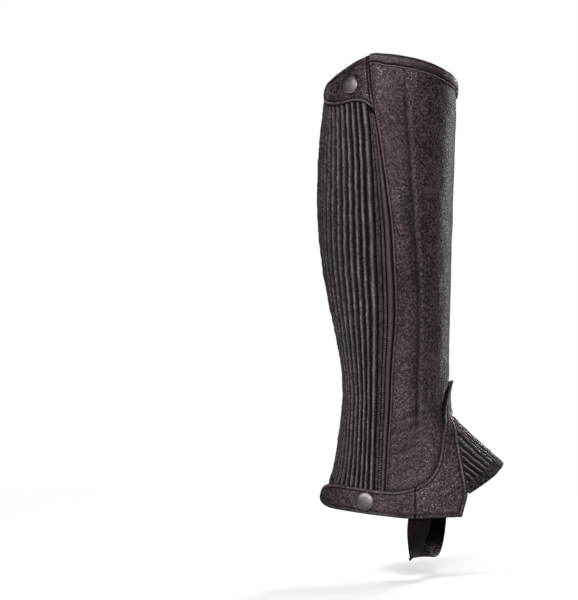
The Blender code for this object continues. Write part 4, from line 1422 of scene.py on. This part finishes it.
def makeLowerStrap():
    fineAt = spaced(300, 0, lastRow(strapOutline))
    turn, top, bottom, lift = readRows(strapOutline, fineAt)
    base = mainPanel["thickness"] + overlay["gap"]
    along = runAlong(formPoint(turn, (top + bottom) / 2 * mm, base + lift * mm))
    at = np.interp(edgeShares(along[-1], lowerStrap["along"]) * along[-1], along, fineAt)
    turn, top, bottom, lift = readRows(strapOutline, at)
    share = edgeShares((top - bottom) * mm, lowerStrap["rows"]).T
    height = between(top, bottom, share) * mm
    seamX = tableColumn(ankleOutline, "rearX")[0] * mm
    seamTurn = turnOf(seamX, height, -1, mainPanel["thickness"] + overlay["ankleGap"])
    gap = degreesFor(seamGap, seamTurn, height)
    followSeam = clamped(1 - (turn - turn[0]) / 12)
    turn = between(turn, seamTurn + 2 * gap + (turn - turn[0]), followSeam)
    inner = base + lift * mm + 0 * turn
    uv = (0 * turn + np.interp(at, fineAt, along), height)
    makeOverlay(
        "lowerStrap",
        lowerStrap,
        turn,
        height,
        inner,
        uv,
        "mainLeather",
        "lower_strap",
        studDent(turn, height, "lower"),
        # a painted highlight along the strap's upper edge only
        lightening=clamped(1.2 - 2 * share),
        joined=uv[0] < overlay["joined"],
        wrinkleUp=0.15,
    )


makeLowerStrap()

# The tab from the leather's edge back over the top of the zip to its round end
upperTab = {
    "thickness": 1.6 * mm,
    "rows": 34,
    "along": 70,
    "endTurn": 170.0,
    "underEdge": 0.5 * mm,
    "stitchAt": (3.3 * mm,),
    "flat": (0.050, 0.066),
    "area": 0.0022,
    "outline": {
        "columns": ("run", "bottom", "lift"),
        "rows": (
            (0.00, 80.6, 0.0), (0.06, 84.2, 1.4), (0.12, 87.0, 1.6), (0.20, 88.8, 1.6),
            (0.32, 88.8, 1.6), (0.46, 87.2, 1.6), (0.60, 86.4, 1.6), (0.74, 87.2, 1.6),
            (0.86, 89.4, 1.6), (0.94, 92.4, 1.6), (1.00, 97.0, 1.6),
        ),
    },
}


def makeUpperTab():
    outline, endTurn = upperTab["outline"], upperTab["endTurn"]
    known = tableColumn(outline, "run")
    seamTurn, _ = meeting(lambda h: zipTurnAt(h, 0.0), rimAt)
    reach = gridLengths(formPoint(spaced(40, seamTurn, endTurn), 100 * mm, 3 * mm)[None], 1)[0]
    run = edgeShares(reach, upperTab["along"])
    low = smoothRead(run, known, tableColumn(outline, "bottom") * mm)
    lift = smoothRead(run, known, tableColumn(outline, "lift") * mm)
    topTurn = between(seamTurn, endTurn, run)
    drop = 4.5 * mm * clamped((run - 0.86) / 0.14) ** 2
    top = rimAt(topTurn) + 1.9 * mm + 0.9 * mm * clamped(1 - run / 0.09) - drop
    share = edgeShares(top - low, upperTab["rows"]).T
    height = between(top, low, share)
    first = zipTurnAt(height, 0.0) - degreesFor(upperTab["underEdge"], topTurn, height)
    turn = between(first, endTurn, run)
    inner = lift + between(0.0, 1.5 * mm, clamped(run / 0.06)) + 0 * turn
    uv = (run * reach + 0 * turn, height)
    makeOverlay(
        "upperTab",
        upperTab,
        turn,
        height,
        inner,
        uv,
        "topBinding",
        "upper_tab",
        studDent(turn, height, "upper"),
        # a painted highlight along the tab's lower edge only
        lightening=clamped(2 * share - 0.8),
    )


makeUpperTab()
print("patch, ankle piece, strap and tab made")

# The gathered leather over the instep
toePiece = {
    "floor": 1.1 * mm,
    "valley": 0.75 * mm,
    "crest": 2.9 * mm,
    "ribs": 22,
    "columnsEach": 8,
    "rows": 92,
    "seamShare": 0.9,
    "uvWidth": 0.066,
    "edgingCover": 7.5 * mm,
    "edgingInside": 4.0 * mm,
    "edgingNear": 0.3 * mm,
    "edgingFar": 1.5 * mm,
    "flat": (0.150, 0.075),
    "area": 0.0078,
    "edgingFlat": (0.018, 0.140),
    "edgingArea": 0.0021,
    "outline": {
        "columns": ("across", "ankleRow", "side", "hemX", "hemZ"),
        "rows": (
            (-1.00, 2.6, -1, 71.6, -256.8), (-0.84, 4.1, -1, 80.0, -251.5),
            (-0.68, 5.3, -1, 88.4, -246.0), (-0.50, 6.6, -1, 95.8, -240.8),
            (-0.34, 8.0, -1, 100.4, -236.6), (0.00, 11.0, 0, 0.0, -232.6),
            (0.34, 14.0, 1, 100.2, -236.6), (0.50, 15.2, 1, 94.4, -240.4),
            (0.68, 16.4, 1, 84.4, -245.2), (0.84, 17.3, 1, 73.0, -249.8),
            (1.00, 18.1, 1, 62.0, -253.6),
        ),
    },
}


def toeLines(across):
    outline = toePiece["outline"]
    known, row, side, hemX, hemZ = (tableColumn(outline, name) for name in outline["columns"])
    hemTurn = signedTurns(hemX * mm, hemZ * mm, side, toePiece["floor"])
    seamTurn, seamHeight = ankleLine(toePiece["seamShare"], smoothRead(across, known, row))
    return (
        seamTurn,
        seamHeight,
        smoothRead(across, known, hemTurn),
        smoothRead(across, known, hemZ * mm),
    )


def toePoint(lines, share, out=0.0):
    seamTurn, seamHeight, hemTurn, hemHeight = lines
    return formPoint(between(seamTurn, hemTurn, share), between(seamHeight, hemHeight, share), out)


def makeToePiece():
    each, ribs = toePiece["columnsEach"], toePiece["ribs"]
    across = spaced(each * ribs, -1, 1)
    lines = toeLines(across)
    length = gridLengths(toePoint(lines, spaced(12)[:, None]), 0)
    share = spaced(toePiece["rows"])[:, None] + 0 * across
    fromSeam, fromHem = share * length, (1 - share) * length
    at = (across + 1) / 2 * ribs
    number = np.minimum(np.floor(at), ribs - 1)
    inside = clamped((fromSeam - 4 * mm) / (6 * mm))
    inside = inside * clamped((fromHem - 6 * mm) / (2 * mm))
    inside = inside * clamped((length - 15 * mm) / (8 * mm))
    profile = np.abs(np.sin(np.pi * at)) ** 1.3
    swell = 1 + 0.12 * softNoise(number * 2.3, fromHem / (13 * mm), 43)
    out = toePiece["valley"] + (toePiece["crest"] - toePiece["valley"]) * profile * swell
    out = between(toePiece["floor"], out, inside)
    sway = 0.10 * softNoise(number * 0.3, fromHem / (15 * mm), 41) * inside
    ends = np.minimum(1, np.minimum(at, ribs - at))
    swayed = toeLines(np.clip(across + sway * 2 / ribs * ends, -1, 1))
    # painted highlight along the rib crests and painted shade between them
    piece = buildWall(
        "toePiece",
        toePoint(swayed, share),
        toePoint(swayed, share, out),
        [pleatedLeather, stretchLining],
        (toePiece["uvWidth"] * across + 0 * share, fromHem),
        sharpAngle=70,
        edge=0.6 * profile**10 * inside,
        hollow=clamped(1.6 - 1.8 * profile) * inside,
        wrinkle=0.5 * profile,
    )
    place(piece, "pleated_leather", "toe_piece")

    # the edging rolled over the toe hem
    floor, near, far = (toePiece[name] for name in ("floor", "edgingNear", "edgingFar"))
    kept = slice(2, -2)
    lines = tuple(line[kept] for line in lines)
    length = length[kept]
    rows = []
    for part in (1.0, 0.93, 0.8, 0.55, 0.3, 0.1, 0.0):
        short = toePiece["edgingCover"] * part
        puff = 0.35 * mm * math.sin(math.pi * part) ** 0.6 - 0.5 * mm * max(0, (part - 0.93) / 0.07)
        rows.append((short, floor + near, short, floor + far + puff))
    for step in spaced(6)[1:-1]:
        reach, out = math.sin(math.pi * step), math.cos(math.pi * step)
        middle = floor * (0.5 + 0.5 * out)
        rows.append((-near * reach, middle + near * out, -far * reach, middle + far * out))
    for part in (0.0, 0.5, 1.0):
        short = toePiece["edgingInside"] * part
        rows.append((short, -near, short, -far))
    profile = np.array(rows)
    waver = 0.18 * mm * softNoise(spaced(len(length) - 1) * 14, 0, 45)
    faces = []
    for k in (0, 2):
        share = 1 - np.minimum(profile[:, k][:, None] / length, 0.96)
        out = profile[:, k + 1][:, None] + (waver if k else 0) + 0 * share
        faces.append(toePoint(lines, share, out))
    u = toePiece["uvWidth"] * across[kept][None, :]
    edging = buildWall(
        "toeEdging", faces[0], faces[1], [toeSuede], (u, profile[:, 2][:, None] + 0 * u), edge=0.2
    )
    place(edging, "toe_edging", "toe_binding")


makeToePiece()
print("toe piece made")

# The elastic under the boot: its middle line from the outer to the inner side, and its twist
footStrap = {
    "width": 20.0 * mm,
    "thickness": 1.6 * mm,
    "edgeLines": (0.43, 0.45, 0.475, 0.492, 0.5),
    "columns": ("x", "y", "z", "twist"),
    "rows": (
        (29.8, -38.2, -262.0, 2), (29.3, -38.6, -277.0, 4), (27.9, -38.0, -290.0, 16),
        (27.2, -34.6, -301.0, 44), (28.5, -25.6, -310.0, 56), (31.5, -12.0, -314.5, 40),
        (35.5, 2.0, -315.4, 22), (40.5, 15.0, -312.6, 14), (44.2, 26.4, -304.8, 8),
        (46.6, 33.2, -293.0, 2), (47.9, 36.0, -278.0, -4), (48.4, 36.0, -262.0, -4),
    ),
    "flat": (0.020, 0.155),
}


def makeFootStrap():
    x, y, z, twist = readRows(footStrap, spaced(220, 0, lastRow(footStrap)))
    line = np.stack([x, y, z], -1) * mm
    along = np.gradient(line, axis=0)
    along /= np.linalg.norm(along, axis=-1, keepdims=True)
    wide = np.stack([np.cos(np.radians(twist)), np.sin(np.radians(twist)), 0 * twist], -1)
    wide -= (wide * along).sum(-1, keepdims=True) * along
    wide /= np.linalg.norm(wide, axis=-1, keepdims=True)
    flat = np.cross(along, wide)
    lines = np.array(footStrap["edgeLines"])
    across = np.concatenate([-lines[::-1], spaced(10, -0.4, 0.4), lines])
    # the selvedge is a little thicker than the ribbed middle
    fromEdge = (0.5 - np.abs(across)) * footStrap["width"]
    half = footStrap["thickness"] / 2 * (0.86 + ridge(fromEdge, 0.9 * mm, 0.7 * mm, 0.16))
    half = half * np.sqrt(np.clip(1 - clamped(1 - fromEdge / (0.5 * mm)) ** 2, 0.09, 1))
    middle = line[None] + across[:, None, None] * footStrap["width"] * wide[None]
    lift = flat[None] * half[:, None, None]
    run = runAlong(line)
    piece = buildWall(
        "footStrap",
        middle - lift,
        middle + lift,
        [elasticWebbing],
        (across[:, None] * footStrap["width"], run[None, :]),
        edge=0.7 * clamped((-306 * mm - middle[..., 2]) / (6 * mm)),
    )
    place(piece, "elastic", "foot_strap")


makeFootStrap()


def makeStud(name, placeName, node):
    # a domed cap turned about the leather's normal, with its edge rolled under
    x, z = studs[placeName]
    out = studs[placeName + "Out"]
    turn = turnOf(x, z, -1, out)
    seat, beyond = formPoint(turn, z, out + 0.3 * mm), formPoint(turn, z, 0.05)
    normal = Vector((beyond - formPoint(turn, z)) / 0.05 + np.array((0, -studs["facing"], 0)))
    radius, rise, rim = studs["radius"], studs["rise"], studs["rim"]
    profile = [(0.0, 0.0), (radius - rim, 0.0)]
    for step in spaced(5, -90, 20):
        angle = math.radians(step)
        profile.append((radius - rim + rim * math.cos(angle), rim + rim * math.sin(angle)))
    edgeRadius, edgeRise = profile[-1]
    for step in spaced(14)[1:]:
        share = math.cos(math.radians(90 * step))
        profile.append((edgeRadius * share, edgeRise + (rise - edgeRise) * (1 - share**2.6) ** 0.6))
    bm = bmesh.new()
    points = [bm.verts.new((radius, 0, height)) for radius, height in profile]
    edges = [bm.edges.new(pair) for pair in zip(points, points[1:])]
    bmesh.ops.spin(
        bm,
        geom=points + edges,
        cent=(0, 0, 0),
        axis=(0, 0, 1),
        angle=math.tau,
        steps=72,
        use_merge=True,
    )
    bmesh.ops.remove_doubles(bm, verts=bm.verts, dist=1e-6)
    turned = normal.to_track_quat("Z", "Y").to_matrix().to_4x4()
    bmesh.ops.transform(bm, matrix=Matrix.Translation(Vector(seat)) @ turned, verts=bm.verts)
    cap = finishMesh(bm, name, [gunmetal], 50)
    # painted shade over the cap, heavier towards its top on the upper stud and towards its bottom on the
    # lower
    field = cap.data.attributes.new("paintedStudShade", "FLOAT", "POINT")
    places = np.empty(3 * len(cap.data.vertices), np.float32)
    cap.data.vertices.foreach_get("co", places)
    above = (places.reshape(-1, 3)[:, 2] - seat[2]) / radius
    paintedStudShade = clamped(0.6 + studs[placeName + "ShadeLean"] * above)
    field.data.foreach_set("value", paintedStudShade.astype(np.float32))
    place(cap, "snap_metal", node)


makeStud("upperStud", "upper", "upper_snap")
makeStud("lowerStud", "lower", "lower_snap")
print("foot strap and studs made")


# Stage, camera and light
studio = {
    "cameraPlace": (-0.0873, -2.4, -0.0860),
    "cameraLean": -0.0055,
    "lens": 160.0,
    "floorHeight": -0.336,
    "floorRadius": 1.3,
    "floorFade": (0.5, 1.25),
    "backdrop": 1.0,
    "ambient": 0.07,
    "lights": (
        # name, place, width, height, watts
        ("keyLight", (-0.9, -1.7, 1.0), 0.35, 0.5, 28.0),
        ("fillLight", (0.1, -2.1, 0.5), 0.45, 0.5, 32.0),
        ("frontLight", (1.4, 0.95, 0.3), 0.6, 1.4, 13.0),
        ("rearLight", (-1.3, 1.5, 0.8), 0.5, 1.0, 3.0),
        ("innerLight", (0.9, 1.7, 0.9), 0.5, 0.9, 34.0),
        ("topLight", (0.05, -0.1, 1.7), 0.8, 0.8, 10.0),
    ),
}


def aim(made, target):
    made.rotation_euler = (Vector(target) - made.location).to_track_quat("-Z", "Y").to_euler()


def makeStage():
    bm = bmesh.new()
    bmesh.ops.create_circle(bm, cap_ends=True, radius=studio["floorRadius"], segments=96)
    bmesh.ops.translate(bm, verts=bm.verts, vec=(0, 0, studio["floorHeight"]))
    mesh = bpy.data.meshes.new("floor")
    bm.to_mesh(mesh)
    bm.free()
    floor = bpy.data.objects.new("floor", mesh)
    scene.collection.objects.link(floor)
    made, tree, shader, coords = newMaterial("paleFloor")
    # pale when seen or mirrored; darker to soft light, so that it doesn't wash out the leather
    soft = addNode(tree, "ShaderNodeLightPath").outputs["Is Diffuse Ray"]
    away = addNode(tree, "ShaderNodeVectorMath", {0: coords["Object"]}, operation="LENGTH")
    finish = {
        "Base Color": mixColors(tree, soft, (0.93, 0.93, 0.93, 1), (0.16, 0.16, 0.16, 1)),
        "Roughness": 0.9,
        "Alpha": smoothRange(tree, away.outputs["Value"], *studio["floorFade"], 1.0, 0.0),
    }
    setInputs(tree, shader, finish)
    mesh.materials.append(made)

    world = bpy.data.worlds.new("studio")
    world.use_nodes = True
    scene.world = world
    tree = world.node_tree
    ambient = studio["ambient"]
    seen = addNode(tree, "ShaderNodeLightPath").outputs["Is Camera Ray"]
    level = maths(tree, "MULTIPLY_ADD", seen, studio["backdrop"] - ambient, ambient)
    setInputs(tree, tree.nodes["Background"], {"Strength": level, "Color": (1, 1, 1, 1)})
    scene.view_settings.view_transform = "Standard"

    for name, location, width, height, watts in studio["lights"]:
        light = bpy.data.lights.new(name, "AREA")
        light.shape, light.size, light.size_y, light.energy = "RECTANGLE", width, height, watts
        made = bpy.data.objects.new(name, light)
        made.location = location
        aim(made, (0, 0, -0.08))
        scene.collection.objects.link(made)

    data = bpy.data.cameras.new("camera")
    data.lens = studio["lens"]
    camera = bpy.data.objects.new("camera", data)
    camera.location = studio["cameraPlace"]
    camera.rotation_euler = (math.pi / 2, studio["cameraLean"], 0)
    scene.collection.objects.link(camera)
    scene.camera = camera


makeStage()
print("stage, camera and lights made")
